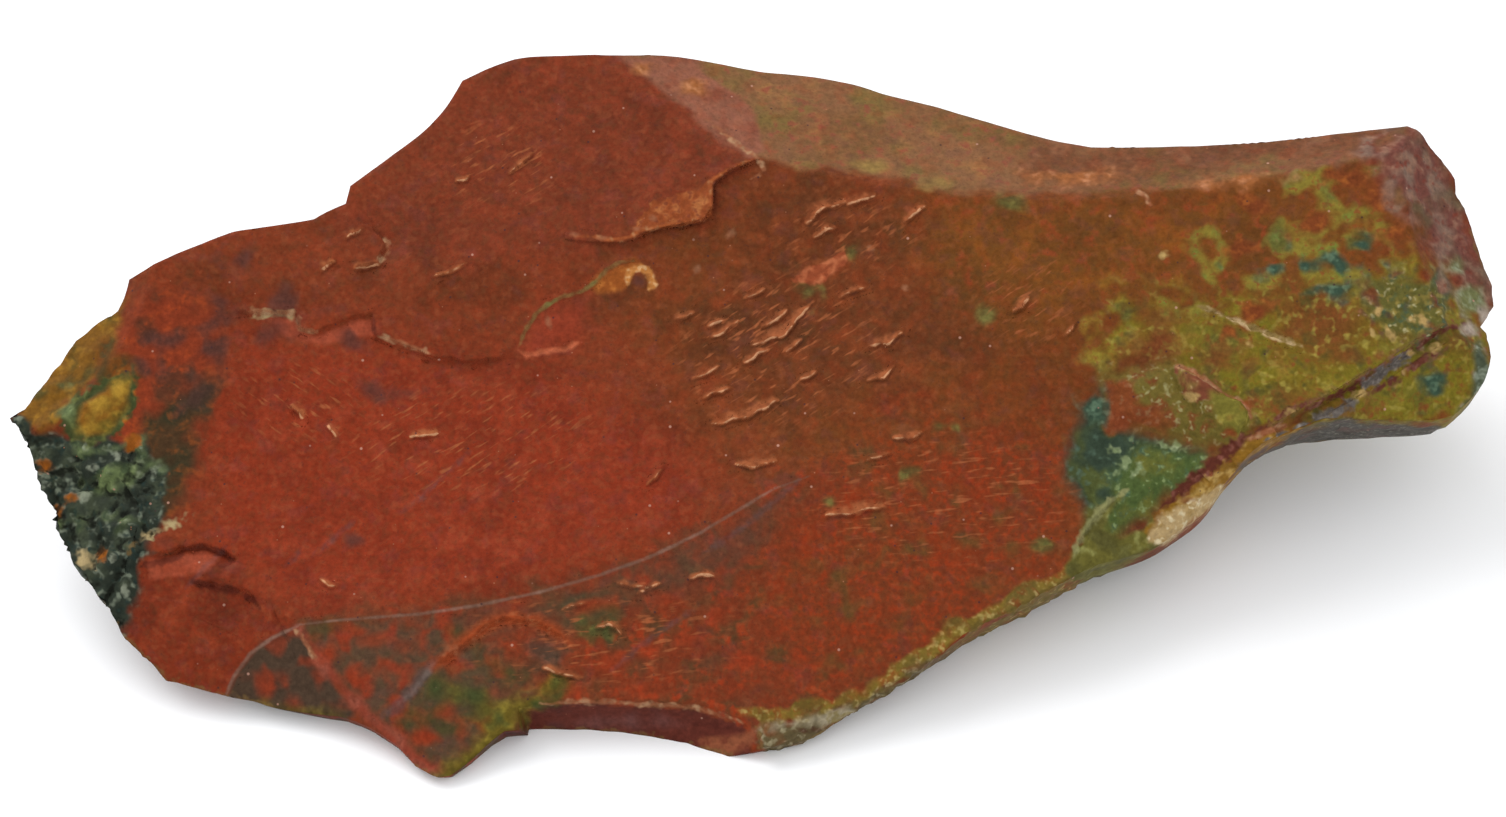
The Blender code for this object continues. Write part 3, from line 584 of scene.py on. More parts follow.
        (1352, 176, 16, 10, 20), (1376, 196, 12, 14, 0), (1392, 236, 12, 10, 30), (1258, 206, 14, 8, 0),
        (1240, 250, 12, 9, 0), (1320, 222, 14, 7, 10), (1230, 330, 16, 8, 0), (1262, 310, 12, 7, 0),
    ], 0.6, 0.8, "743a1c", [("8a4c20", "mottle", 0.0, 0.14)]),
    ("crystals", "area", [[
        (1368, 284), (1396, 276), (1432, 280), (1450, 300), (1446, 330), (1420, 350), (1386, 342),
        (1370, 316),
    ]], 0.9, 0.8, "5f5a2a", [
        ("34503f", "mottle", 0.0, 0.12), ("8e7c3e", "fleck", 0.04, 0.16),
        ("a39a72", "speckle", 0.12, 0.2), ("6c3420", "blots", 0.08, 0.16),
    ]),
    ("seam", "strokes", [
        ([(1160, 512), (1184, 490), (1210, 468), (1232, 450), (1250, 434)], 1.1),
    ], 0.25, 0.3, "5a2c20", [("7c4c40", "mottle", 0.02, 0.12)]),
    ("amber_band", "area", [[
        (1146, 536), (1160, 512), (1190, 490), (1226, 464), (1246, 440), (1296, 422), (1300, 430),
        (1256, 456), (1224, 490), (1180, 520),
    ]], 0.25, 0.3, "86601f", [("a8894c", "mottle", 0.0, 0.12), ("6c3a22", "blots", 0.04, 0.14)]),
    ("cream_chip", "area", [[
        (1146, 542), (1160, 518), (1190, 502), (1224, 484), (1222, 500), (1190, 524), (1164, 546),
    ]], 0.25, 0.15, "b0966a", [("967a4a", "mottle", 0.0, 0.12), ("cdbf9c", "speckle", 0.04, 0.14)]),
    ("mauve_end", "area", [[
        (1364, 150), (1412, 120), (1450, 160), (1500, 290), (1490, 330), (1462, 306), (1440, 262),
        (1412, 220), (1392, 190),
    ]], 1.1, 1.0, "704238", [
        ("7c6456", "blots", 0.0, 0.14), ("84604e", "mottle", 0.0, 0.16), ("743428", "fleck", 0.08, 0.2),
        ("5c4e38", "patches", 0.04, 0.14),
    ]),
    ("groove", "strokes", [
        ([(1250, 434), (1270, 424), (1292, 410), (1330, 398), (1353, 387), (1380, 369), (1405, 353),
          (1440, 331), (1470, 322)], 0.55), ([(1362, 398), (1392, 380), (1420, 362), (1446, 348)], 0.4),
    ], 0.25, 0.3, "5e3226", [("7c5648", "mottle", 0.02, 0.12)]),
    # Grey band along the groove, made paler as a painted highlight.
    ("groove_grey", "strokes", [
        ([(1362, 388), (1384, 372), (1412, 352)], 0.8), ([(1312, 422), (1336, 412), (1356, 402)], 0.8),
        ([(1268, 440), (1300, 428), (1316, 420)], 0.5),
    ], 0.25, 0.3, "68605a", [("8e867e", "speckle", 0.0, 0.14), ("4a4440", "mottle", 0.02, 0.12)]),
    ("yellow_specks", "spots", [
        (1436, 347, 7, 5, 0), (1412, 352, 3, 3, 0), (1404, 372, 3, 3, 0), (1372, 330, 3, 4, 0),
        (1424, 322, 4, 4, 0), (1390, 334, 4, 5, 0), (1412, 318, 5, 4, 0), (1378, 312, 4, 4, 0),
        (1250, 344, 2, 2, 0), (1164, 254, 3, 3, 0), (1360, 394, 6, 5, 0), (1190, 400, 5, 4, 0),
        (1294, 411, 4, 2, 0),
    ], 0.2, 0.2, "b0915a", []),
    ("glassy", "spots", [
        (1470, 300, 13, 17, 10), (1454, 268, 8, 8, 0),
    ], 0.5, 0.4, "6a6c44", [("868c70", "mottle", -0.02, 0.1)]),
    ("white_notch", "spots", [
        (1468, 330, 12, 6, 25), (1482, 318, 5, 8, 0),
    ], 0.3, 0.3, "a89a8c", [("7c6a5c", "mottle", 0.0, 0.1)]),
    ("lower_facet_edge", "strokes", [
        ([(1478, 344), (1484, 372), (1472, 408), (1452, 424)], 0.9),
    ], 0.4, 0.3, "4a5240", [("8a9482", "mottle", 0.02, 0.12)]),
    ("neck_under", "area", [[
        (1240, 466), (1262, 452), (1300, 432), (1340, 418), (1372, 424), (1440, 424), (1440, 470),
        (1240, 500),
    ]], 0.3, 0.3, "524e48", [
        ("78746a", "grit", 0.02, 0.12), ("36342f", "mottle", 0.0, 0.12), ("5e4a44", "blots", 0.04, 0.14),
    ]),
    ("tip_side", "area", [[
        (756, 728), (800, 718), (850, 706), (900, 678), (960, 646), (980, 662), (860, 730), (760, 770),
    ]], 0.35, 0.4, "5f5236", [
        ("4a3a24", "mottle", 0.0, 0.12), ("8a8064", "speckle", 0.02, 0.12),
        ("6e4428", "blots", 0.04, 0.12),
    ]),
    ("tip_white", "spots", [
        (826, 719, 22, 4, 12), (792, 724, 10, 4, 5), (852, 712, 10, 3, 20),
    ], 0.3, 0.35, "a0947a", [("76683e", "mottle", 0.0, 0.1)]),
    ("yellow_blotch", "spots", [(948, 184, 18, 4, 0), (868, 167, 10, 4, 10)], 0.5, 0.4, "866a3a", []),
    ("orange_blotch", "spots", [
        (1240, 181, 28, 6, 4), (692, 87, 12, 7, 20), (648, 68, 8, 5, 0), (1070, 176, 34, 5, 3),
    ], 0.5, 0.4, "965a30", [("a8704c", "mottle", 0.0, 0.14)]),
    ("orange_flake", "area", [[
        (789, 280), (806, 268), (845, 252), (850, 260), (834, 274), (820, 284), (800, 284),
    ]], 0.15, 0.15, "8c4428", [("a8603e", "mottle", 0.0, 0.14)]),
    ("ledge", "area", [[
        (654, 203), (664, 199), (700, 187), (710, 181), (712, 214), (700, 220), (668, 225), (652, 226),
        (636, 232), (632, 226),
    ]], 0.2, 0.2, "8a4422", [("a46438", "mottle", 0.0, 0.12), ("6e3420", "speckle", 0.04, 0.14)]),
    ("ledge_shadow", "strokes", [
        ([(640, 234), (655, 229), (690, 225), (708, 219)], 0.35),
        ([(714, 214), (713, 184), (722, 176), (740, 166)], 0.5),
    ], 0.2, 0.1, "4c2012", []),
    ("ledge_edge", "strokes", [
        ([(570, 236), (594, 237), (611, 240), (630, 237), (640, 231), (655, 227), (690, 222), (707, 217),
          (711, 206), (710, 182), (722, 173), (738, 165), (752, 160)], 0.26),
    ], 0.14, 0.1, "964e28", [("b08058", "fleck", 0.06, 0.18)]),
    ("scar_red", "area", [[
        (520, 350), (528, 330), (542, 312), (562, 300), (590, 296), (596, 316), (578, 342), (548, 350),
        (528, 355),
    ]], 1.2, 0.5, "8a3420", []),
    ("scar_orange", "area", [[
        (594, 286), (604, 273), (617, 264), (634, 260), (644, 266), (630, 274), (626, 286), (612, 292),
        (598, 294),
    ]], 0.35, 0.3, "8e4c1e", [("a4642c", "mottle", 0.0, 0.14)]),
    ("scar_lip", "strokes", [
        ([(518, 348), (526, 328), (540, 309), (560, 297), (582, 291), (596, 281), (605, 270), (618, 262),
          (634, 260)], 0.24),
    ], 0.14, 0.08, "84643a", [("7e8048", "blots", 0.04, 0.16)]),
    ("scar_foot", "strokes", [
        ([(518, 350), (527, 356), (548, 350), (565, 349), (578, 342)], 0.4),
    ], 0.2, 0.1, "a85638", []),
    ("scar_ring", "strokes", [
        ([(627, 284), (630, 271), (640, 267), (650, 273), (653, 283), (648, 291)], 0.6),
    ], 0.16, 0.08, "b4743a", [("c49a6c", "speckle", -0.02, 0.1)]),
    ("scar_notch", "spots", [(638, 281, 5, 6, 10)], 0.25, 0.1, "5c342a", []),
    # Painted highlight along the ridges below the red bowl.
    ("rim_line", "strokes", [
        ([(296, 625), (340, 620), (420, 614), (480, 605), (540, 592), (600, 575), (650, 557), (700, 533),
          (735, 512), (775, 488), (810, 476)], 0.2),
        ([(224, 700), (234, 676), (250, 654), (272, 638), (298, 626)], 0.24),
    ], 0.12, 0.03, "765a4c", [("8a6c5e", "blots", 0.0, 0.1)]),
    # Pale violet veins; the first stroke, down the spur's ridge, is a painted highlight.
    ("violet_lines", "strokes", [
        ([(437, 660), (418, 682), (398, 706), (382, 716)], 0.9),
        ([(312, 556), (332, 540), (356, 518)], 0.3), ([(400, 512), (424, 496), (440, 478)], 0.26),
        ([(428, 488), (450, 470), (470, 452)], 0.26),
        ([(610, 672), (640, 646), (668, 626), (700, 606)], 0.3),
        ([(700, 556), (742, 528), (776, 500), (800, 480)], 0.3), ([(286, 566), (300, 552)], 0.24),
        ([(186, 588), (205, 566), (226, 546)], 0.24),
    ], 0.25, 0.1, "574648", []),
    ("spur_sheen", "strokes", [
        ([(434, 664), (424, 678), (412, 692), (400, 704)], 0.34),
    ], 0.25, 0.1, "74645e", []),
    ("pale_edges", "strokes", [
        ([(244, 312), (262, 311), (296, 312)], 0.3), ([(298, 314), (299, 328), (316, 332)], 0.36),
        ([(378, 335), (400, 342), (432, 354)], 0.34), ([(1134, 188), (1144, 196), (1152, 206)], 0.3),
        ([(296, 630), (308, 646), (320, 664)], 0.3),
        ([(540, 704), (584, 701), (638, 704), (693, 707), (744, 723)], 0.3),
        ([(1174, 365), (1195, 373), (1222, 393)], 0.5),
        ([(1222, 393), (1241, 401), (1250, 412), (1250, 426)], 0.3),
        ([(1248, 440), (1266, 432), (1292, 424)], 0.5), ([(385, 236), (388, 250), (378, 262)], 0.3),
        ([(706, 118), (740, 146), (758, 158), (764, 172), (750, 180)], 0.3),
    ], 0.14, 0.12, "945c3e", [("b08a68", "fleck", 0.0, 0.16)]),
    ("blade_edge", "strokes", [
        ([(1199, 306), (1216, 311), (1226, 316)], 0.4),
        ([(1222, 314), (1244, 323), (1266, 333), (1286, 340), (1302, 346)], 0.5),
    ], 0.16, 0.12, "8c7444", [("b49a74", "speckle", -0.02, 0.1)]),
    ("ridge_orange", "strokes", [
        ([(434, 668), (462, 642), (488, 624), (510, 617), (536, 621), (556, 632), (572, 645)], 1.0),
    ], 0.5, 0.15, "8e3e1e", [("a05c3c", "fleck", 0.04, 0.18)]),
    # Painted shade in the hollow below the lower flake's step.
    ("flake_hollow", "area", [[
        (516, 642), (530, 634), (552, 640), (568, 652), (560, 664), (530, 662),
    ]], 0.6, 0.4, "46382c", [("6a4636", "mottle", 0.0, 0.12)]),
    # Painted shadows: under the lower left ledges, beside the steps' risers, and along the bottom of the lip
    # and the tip.
    ("dark_cracks", "strokes", [
        ([(140, 566), (158, 562), (176, 556), (184, 548)], 0.5),
        ([(184, 548), (204, 546), (222, 553), (238, 562)], 0.4),
        ([(192, 582), (215, 586), (242, 592)], 0.5), ([(242, 593), (254, 600), (262, 611)], 0.5),
        ([(372, 313), (375, 334)], 0.4), ([(297, 313), (300, 327)], 0.3),
        ([(688, 723), (716, 726), (746, 730)], 0.3), ([(790, 730), (824, 730), (850, 722)], 0.3),
    ], 0.15, 0.12, "4a1f18", []),
    ("dust", "spots", [
        (575, 235, 4, 2, 0), (602, 238, 5, 2, 0), (653, 218, 4, 4, 0), (637, 229, 3, 2, 0),
        (549, 323, 3, 6, 20), (731, 234, 5, 3, 50), (697, 270, 5, 3, 50), (870, 248, 4, 3, 0),
        (905, 288, 3, 3, 0), (1268, 351, 2, 2, 0),
    ], 0.16, 0.06, "946448", []),
]
PAINT = GROUND + DETAILS

# Entries that let what lies under them show, and how much they cover.
FAINT = {
    "violet_lines": 0.4, "rim_line": 0.7, "pale_edges": 0.85, "grey_blots": 0.75, "scar_red": 0.7,
    "dark_cracks": 0.55, "spur_red": 0.85, "lip_sheen": 0.6, "olive_rust": 0.7, "under_rim": 0.75,
    "skin_streaks": 0.7, "spur_sheen": 0.5, "facet_crest": 0.7, "scar_lip": 0.85, "shaded_middle": 0.8,
    "flake_hollow": 0.8, "ledge_shadow": 0.6, "dust": 0.6, "ledge_planes": 0.8, "green_blobs": 0.7,
    "knot_red": 0.75,
}

# A stroke's ends: its width there as a share, and how far from the end it is full, as a share of
# its length. It narrows from a little beyond the end. FAR_AWAY is outside of everything, and
# DEEPEST is as deep or as far out as an attribute says.
STROKE_TIP = 0.25
STROKE_START = -0.1
STROKE_END = 0.16
FAR_AWAY = 99.0
DEEPEST = 9.0

# Noise patterns: size of their patches, detail, roughness and distortion. Those under 0.6 mm stand
# for the stone's grain, which is finer still and would not show.
PATTERNS = {
    "clouds": (9.0, 2.0, 0.5, 0.0), "patches": (4.5, 2.0, 0.55, 0.2), "blots": (2.0, 1.5, 0.5, 0.2),
    "veil": (1.5, 2.0, 0.5, 0.0), "mottle": (1.0, 2.0, 0.5, 0.2), "fleck": (0.7, 1.0, 0.5, 0.0),
    "speckle": (0.5, 1.0, 0.5, 0.0), "grit": (0.32, 2.0, 0.6, 0.0),
}
NET_WIDTH = 0.03

# How mottles lie: they start a little earlier and are full a little later than an entry says, and
# the finest ones cover less.
FINE_PATTERNS = ("fleck", "speckle", "grit")
FINE_MOTTLE_SHARE = 0.8
MOTTLE_SHARE = 0.9
MOTTLE_EARLIER = 0.03
MOTTLE_LATER = 0.08

# The pattern that an entry's edge wanders by, for edges softer than this, and how strongly.
EDGE_PATTERNS = {"patches": 2.0, "blots": 0.25, "fleck": 0.0}
WANDER = 5.0

# The ground under all colours: two shades, and where the second starts and is full.
BASE = ("7a351c", "6a3018", -0.04, 0.12)

# How much darker and paler each pattern makes all colours, and the depth of the grain.
TONES = {"grit": 0.7, "speckle": 0.45, "mottle": 0.4}
GRAIN_DEPTH = 0.05

# Painted shade in the crevices of lumps and a painted highlight on their tops: colour, the height at
# which it starts and is full, and its share. A fine pattern makes those heights waver.
LUMP_SHADE_AND_HIGHLIGHT = [("14160f", -0.14, -0.36, 0.85), ("8f9480", 0.24, 0.46, 0.55)]
LUMP_WAVER = 0.5

# The rind underneath: two shades and where the second starts and is full, the values between which
# its patches appear, and its share.
RIND = ("584433", "6c5a48", -0.06, 0.14)
RIND_PATCHES = (-0.12, 0.14)
RIND_SHARE = 0.7

# The parts of a bruise, from the lowest: the pattern that breaks it up and how strongly, and where
# it starts and is full. Then the painted shadow line's colour and share, and the bright edge's colour.
BRUISE_PARTS = {
    "shade": ("fleck", 0.8, 0.2, 0.9),
    "fill": ("fleck", 2.6, 0.1, 1.2),
    "lip": ("mottle", 4.0, 0.4, 1.0),
}
BRUISE_SHADOW_COLOUR = "3c1c12"
BRUISE_SHADOW_SHARE = 0.2
BRUISE_LIP = "c08b66"

# The worn rim: shade, how far in it starts and is full, and its share. A fine pattern makes that
# distance waver.
WORN_RIM = ("80643a", 0.36, 0.0, 0.5)
RIM_WAVER = 1.2

# Specks: the size of the cell that may hold one, its radius as a share of that, the lot above which
# a cell holds one, and its shade. Then how softly the lot counts, a speck's softness as shares of
# its radius, and how much it covers.
SPECKS = [(2.0, 0.055, 0.45, "b88a78"), (1.3, 0.07, 0.6, "40282c"), (1.1, 0.05, 0.7, "a0684c")]
SPECK_LOT = 0.05
SPECK_EDGE = (1.3, 0.6)
SPECK_SHARE = 0.7

# Quartz's index of refraction. A broken face has none of a polish's gloss, so its specular level
# is low.
QUARTZ_IOR = 1.54
LUSTRE = 0.04
PAPER_ROUGHNESS = 0.9
PAPER_LUSTRE = 0.1


def linear(hex_colour):
    """An sRGB colour such as "84361f" as linear red, green, blue and alpha."""
    parts = [int(hex_colour[i:i + 2], 16) / 255 for i in (0, 2, 4)]
    return tuple(c / 12.92 if c <= 0.04045 else ((c + 0.055) / 1.055) ** 2.4 for c in parts) + (1.0,)


def smooth(value, low, high):
    """0 below low, 1 above high, an even curve between."""
    t = np.clip((value - low) / (high - low), 0.0, 1.0)
    return t * t * (3.0 - 2.0 * t)


def to_face(points):
    """Points of the row frame, in metres, as (u, v, w) of the broad face, in millimetres."""
    x, y, z = (points / MM - FACE_MIDDLE).T
    cosine, sine = math.cos(FACE_LEAN), math.sin(FACE_LEAN)
    return np.stack([x, y * cosine + z * sine, z * cosine - y * sine], axis=1)


def from_face(face):
    """Points (u, v, w) of the broad face, in millimetres, as points of the row frame, in metres."""
    u, v, w = face.T
    cosine, sine = math.cos(FACE_LEAN), math.sin(FACE_LEAN)
    return (np.stack([u, v * cosine - w * sine, v * sine + w * cosine], axis=1) + FACE_MIDDLE) * MM


def face_axis():
    """The direction out of the broad face, in the row frame."""
    return np.array((0.0, -math.sin(FACE_LEAN), math.cos(FACE_LEAN)))


def camera_on_face():
    """The camera's place in the broad face's frame: back along the line of sight."""
    rise = SIGHT_RISE + FACE_LEAN
    return np.array((0.0, -math.cos(rise), math.sin(rise))) * SIGHT_DISTANCE


def seen(face_points):
    """Where the line of sight to each point crosses the plane of the broad face."""
    eye = camera_on_face()
    share = eye[2] / (eye[2] - face_points[:, 2])
    return np.stack([face_points[:, 0] * share, eye[1] + (face_points[:, 1] - eye[1]) * share], axis=1)


def on_face(pixel):
    """The point of the face's plane that a point of the photograph shows."""
    eye = camera_on_face() / SIGHT_DISTANCE
    across = (pixel[0] - PHOTO_WIDTH / 2) / SIGHT_FOCUS
    upwards = (PHOTO_HEIGHT / 2 - pixel[1]) / SIGHT_FOCUS
    reach = SIGHT_DISTANCE * eye[2] / (eye[2] + upwards * eye[1])
    return np.array((across * reach, SIGHT_DISTANCE * eye[1] + reach * (upwards * eye[2] - eye[1])))


def traced(pixels):
    """A line or an outline in the photograph, as one on the face's plane."""
    return [on_face(pixel) for pixel in pixels]


def follow(points, line):
    """For each point: its distance from the line, the side (1 left, -1 right), and how far along
    the line its nearest place is. Also the line's length."""
    line = np.asarray(line)
    best = np.full(len(points), np.inf)
    side = np.ones(len(points))
    along = np.zeros(len(points))
    passed = 0.0
    for start, end in zip(line[:-1], line[1:]):
        run = end - start
        length = np.linalg.norm(run)
        rel = points - start
        t = np.clip(rel @ run / length**2, 0.0, 1.0)
        gap = np.linalg.norm(rel - t[:, None] * run, axis=1)
        nearer = gap < best
        turn = run[0] * rel[:, 1] - run[1] * rel[:, 0]
        best = np.where(nearer, gap, best)
        side = np.where(nearer, np.where(turn >= 0, 1.0, -1.0), side)
        along = np.where(nearer, passed + t * length, along)
        passed += length
    return best, side, along, passed


def depth_inside(points, outline):
    """How far inside a closed outline each point lies. Negative outside."""
    outline = np.asarray(outline)
    gap = follow(points, np.vstack([outline, outline[:1]]))[0]
    inside = np.zeros(len(points), bool)
    for start, end in zip(outline, np.roll(outline, -1, axis=0)):
        spans = (start[1] > points[:, 1]) != (end[1] > points[:, 1])
        rise = end[1] - start[1]
        crossing = start[0] + (points[:, 1] - start[1]) * (end[0] - start[0]) / (rise if rise else 1.0)
        inside ^= spans & (points[:, 0] < crossing)
    return np.where(inside, gap, -gap)


def depth_in_spot(flat, spot):
    """How far inside an oval spot each point lies, in millimetres."""
    x, y, half_length, half_width, turn = spot
    rel = flat - on_face((x, y))
    cosine, sine = math.cos(math.radians(turn)), math.sin(math.radians(turn))
    along = (rel[:, 0] * cosine + rel[:, 1] * sine) * PIXELS_PER_MM / half_length
    across = (rel[:, 1] * cosine - rel[:, 0] * sine) * PIXELS_PER_MM / half_width
    return (1.0 - np.hypot(along, across)) * min(half_length, half_width) / PIXELS_PER_MM


def depth_in_stroke(flat, stroke):
    """How far inside a stroke with narrowing ends each point lies, in millimetres."""
    line, width = stroke
    gap, _, along, length = follow(flat, traced(line))
    taper = smooth(np.minimum(along, length - along), STROKE_START, STROKE_END * length)
    return width / 2 * (STROKE_TIP + (1.0 - STROKE_TIP) * taper) - gap


def painted_depth(flat, kind, shapes):
    """How far inside the nearest of an entry's shapes each point lies, in millimetres."""
    deepest = np.full(len(flat), -FAR_AWAY)
    for shape in shapes:
        if kind == "area":
            depth = depth_inside(flat, traced(shape))
        elif kind == "spots":
            depth = depth_in_spot(flat, shape)
        else:
            depth = depth_in_stroke(flat, shape)
        deepest = np.maximum(deepest, depth)
    return deepest


def waves(points, length, seed):
    """Smooth noise between about -1 and 1 at points in millimetres."""
    offset = Vector((seed, 2.3 * seed, -1.7 * seed))
    return np.array([noise.noise(Vector(p) / length + offset) for p in points])


def read_vertices(mesh, name):
    """The places or the normals of a mesh's vertices, one to a row."""
    flat = np.empty(len(mesh.vertices) * 3)
    mesh.vertices.foreach_get(name, flat)
    return flat.reshape(-1, 3)


def write_points(mesh, points):
    mesh.vertices.foreach_set("co", points.astype(np.float32).ravel())
    mesh.update()


def triangles_of(mesh):
    mesh.calc_loop_triangles()
    flat = np.empty(len(mesh.loop_triangles) * 3, np.int32)
    mesh.loop_triangles.foreach_get("vertices", flat)
    return flat.reshape(-1, 3)


def set_attribute(mesh, name, values):
    layer = mesh.attributes.new(name, "FLOAT", "POINT")
    layer.data.foreach_set("value", np.asarray(values, np.float32))


def read_attribute(mesh, name):
    values = np.empty(len(mesh.vertices), np.float32)
    mesh.attributes[name].data.foreach_get("value", values)
    return values.astype(float)


def rim_points(bm):
    """Points along the sharp edges where the broad face ends."""
    axis = Vector(face_axis())
    found = []
    for edge in bm.edges:
        steepest = min((face.normal.dot(axis) for face in edge.link_faces), default=1.0)
        if edge.calc_face_angle(0.0) < RIM_ANGLE or steepest > RIM_BACK:
            continue
        start, end = (vert.co for vert in edge.verts)
        count = max(1, round((end - start).length / RIM_SPACING))
        found += [start.lerp(end, i / count) for i in range(count + 1)]
    return found


def neighbours_of(triangles):
    """For each triangle, the three that share an edge with it."""
    sides = [triangles[:, [0, 1]], triangles[:, [1, 2]], triangles[:, [2, 0]]]
    pairs = np.sort(np.concatenate(sides), axis=1)
    key = pairs[:, 0].astype(np.int64) * (int(triangles.max()) + 1) + pairs[:, 1]
    order = np.argsort(key, kind="stable")
    owner = np.tile(np.arange(len(triangles)), 3)
    slot = np.repeat(np.arange(3), len(triangles))
    near = np.tile(np.arange(len(triangles))[:, None], (1, 3))
    match = np.nonzero(key[order][1:] == key[order][:-1])[0]
    first, second = order[match], order[match + 1]
    near[owner[first], slot[first]] = owner[second]
    near[owner[second], slot[second]] = owner[first]
    return near


def even_out(points, triangles, held, rounds):
    """Takes the flat cells out of the scars and keeps their ridges: each triangle's direction is
    averaged with its neighbours' where they are alike, and the points follow."""
    near = neighbours_of(triangles)
    corners = [points[triangles[:, k]] for k in range(3)]
    facing = np.cross(corners[1] - corners[0], corners[2] - corners[0])
    area = np.linalg.norm(facing, axis=1)
    facing /= np.maximum(area, SMALLEST)[:, None]
    for _ in range(rounds):
        total = facing * area[:, None]
        for k in range(3):
            other = facing[near[:, k]]
            alike = np.exp(-((facing - other) ** 2).sum(axis=1) / (2.0 * CREASE**2)) * area[near[:, k]]
            total += other * alike[:, None]
        facing = total / np.maximum(np.linalg.norm(total, axis=1), SMALLEST)[:, None]
    shares = np.maximum(np.bincount(triangles.ravel(), minlength=len(points)), 1)
    for _ in range(FOLLOW_ROUNDS):
        middle = points[triangles].mean(axis=1)
        move = np.zeros_like(points)
        for k in range(3):
            corner = triangles[:, k]
            gap = ((middle - points[corner]) * facing).sum(axis=1)[:, None] * facing
            for axis in range(3):
                move[:, axis] += np.bincount(corner, weights=gap[:, axis], minlength=len(points))
        move[held] = 0.0
        points = points + move / shares[:, None]
    return points


def relax(points, triangles):
    """Rounds the corners that the solid has square at a few places."""
    share = np.zeros(len(points))
    flat = seen(to_face(points))
    for pixel, radius in ROUNDED:
        inside = radius - np.linalg.norm(flat - on_face(pixel), axis=1)
        share = np.maximum(share, smooth(inside, 0.0, 0.5 * radius))
    count = np.maximum(np.bincount(triangles.ravel(), minlength=len(points)), 1)
    for _ in range(RELAX_ROUNDS):
        middle = points[triangles].mean(axis=1)
        total = np.stack([
            sum(
                np.bincount(triangles[:, k], weights=middle[:, axis], minlength=len(points))
                for k in range(3)
            )
            for axis in range(3)
        ], axis=1)
        points = points + share[:, None] * (total / count[:, None] - points)
    return points


def bowl_height(u, v, name):
    """A scar's own surface over the face: the same bowl as in the solid."""
    middle, turn, radii, fall = BOWLS[name]
    x, y = u - middle[0], v - middle[1]
    cosine, sine = math.cos(math.radians(turn)), math.sin(math.radians(turn))
    along, across = x * cosine + y * sine, y * cosine - x * sine
    slope = math.tan(math.radians(fall))
    return middle[2] + along**2 / (2 * radii[0]) + across**2 / (2 * radii[1]) - slope * y


def soften_crossings(face):
    """How far the stone sinks where two scars run into each other with no ridge."""
    u, v = face[:, 0], face[:, 1]
    broad, red, plateau = (bowl_height(u, v, name) for name in ("broad", "red", "plateau"))
    gaps = {"right": np.abs(broad - red), "left": np.abs(np.minimum(broad, red) - plateau)}
    places = {"right": u, "left": -u}
    sink = np.zeros(len(face))
    for name, (strength, start, full) in CROSSINGS.items():
        reach = CROSSING_LEAST + strength * smooth(places[name], start, full)
        sink += np.maximum(reach - gaps[name], 0.0) ** 2 / (4 * reach)
    return -sink


def all_bruises():
    """The bruises as lines on the face, with the widths of their fills."""
    return [(traced(points), BRUISE_SPREAD * width) for *points, width in BRUISES]


def bruise_shares(signed, local):
    """How far points belong to a bruise's fill, its bright edge and the painted shadow line in front of it.
    """
    fade = 1.0 - (signed - FILL_WHOLE * local) / (local + FILL_FADE)
    start = np.minimum(signed / FILL_EDGE + 0.5, fade)
    shares = {"bruise_fill": start * np.minimum(1.0, local / FILL_WIDTH)}
    for name, (middle, width) in BRUISE_BANDS.items():
        shares[name] = (1.0 - np.abs(signed - middle) / BAND_REACH) * np.minimum(1.0, local / width)
    return shares


def bruise_relief(flat, ragged):
    """Relief of the bruises, and their painted parts."""
    relief = np.zeros(len(flat))
    parts = {name: np.zeros(len(flat)) for name in ("bruise_fill", *BRUISE_BANDS)}
    for line, width in all_bruises():
        low, high = np.min(line, axis=0) - BRUISE_MARGIN, np.max(line, axis=0) + BRUISE_MARGIN
        close = np.nonzero(((flat > low) & (flat < high)).all(axis=1))[0]
        if not len(close):
            continue
        gap, side, along, length = follow(flat[close], line)
        taper = np.clip(4 * along * (length - along) / length**2, 0.0, 1.0) ** BRUISE_TAPER
        lift = BRUISE_LIFT * min(1.0, width / BRUISE_LIFT_WIDTH)
        signed = gap * side + ragged[close] * min(1.0, width / BRUISE_RAGGED_WIDTH)
        above = lift * np.exp(-np.abs(signed) / (BRUISE_BACK + width)) * (signed > 0)
        below = -BRUISE_SINK * lift * np.exp(-np.abs(signed) / BRUISE_FALL) * (signed < 0)
        relief[close] += (above + below) * taper
        for name, share in bruise_shares(signed, width * taper).items():
            parts[name][close] = np.maximum(parts[name][close], np.clip(share, 0.0, 1.0))
    return relief, parts


def step_relief(flat, ragged):
    """Relief of the low steps and domes."""
    relief = np.zeros(len(flat))
    for line, drop, reach in STEPS.values():
        gap, side, along, length = follow(flat, traced(line))
        ends = smooth(along, 0.0, STEP_END * length) * smooth(length - along, 0.0, STEP_END * length)
        signed = gap * side + ragged
        low_side = -drop * smooth(-signed, -STEP_EDGE, STEP_EDGE) * np.exp(-gap / (STEP_FADE * reach))
        relief += low_side * ends
    for outline, height, reach in DOMES:
        depth = depth_inside(flat, traced(outline)) + ragged
        relief += height * smooth(depth, -STEP_EDGE, reach)
    return relief


def lump_relief(points, depths):
    """Relief of the lumpy zones: folded noise, coarse and fine."""
    lumps = np.zeros(len(points))
    for number, (zone, (height, grain)) in enumerate(ROUGH.items()):
        share = smooth(depths[zone], *LUMP_EDGE)
        chosen = np.nonzero(share > 0)[0]
        grains = np.abs(waves(points[chosen] / MM, grain, LUMP_SEED + number))
        grains += FINE_LUMPS * np.abs(waves(points[chosen] / MM, grain / 2.0, FINE_LUMP_SEED + number))
        lumps[chosen] += height * share[chosen] * (2.0 * grains - LUMP_LEVEL)
    return lumps


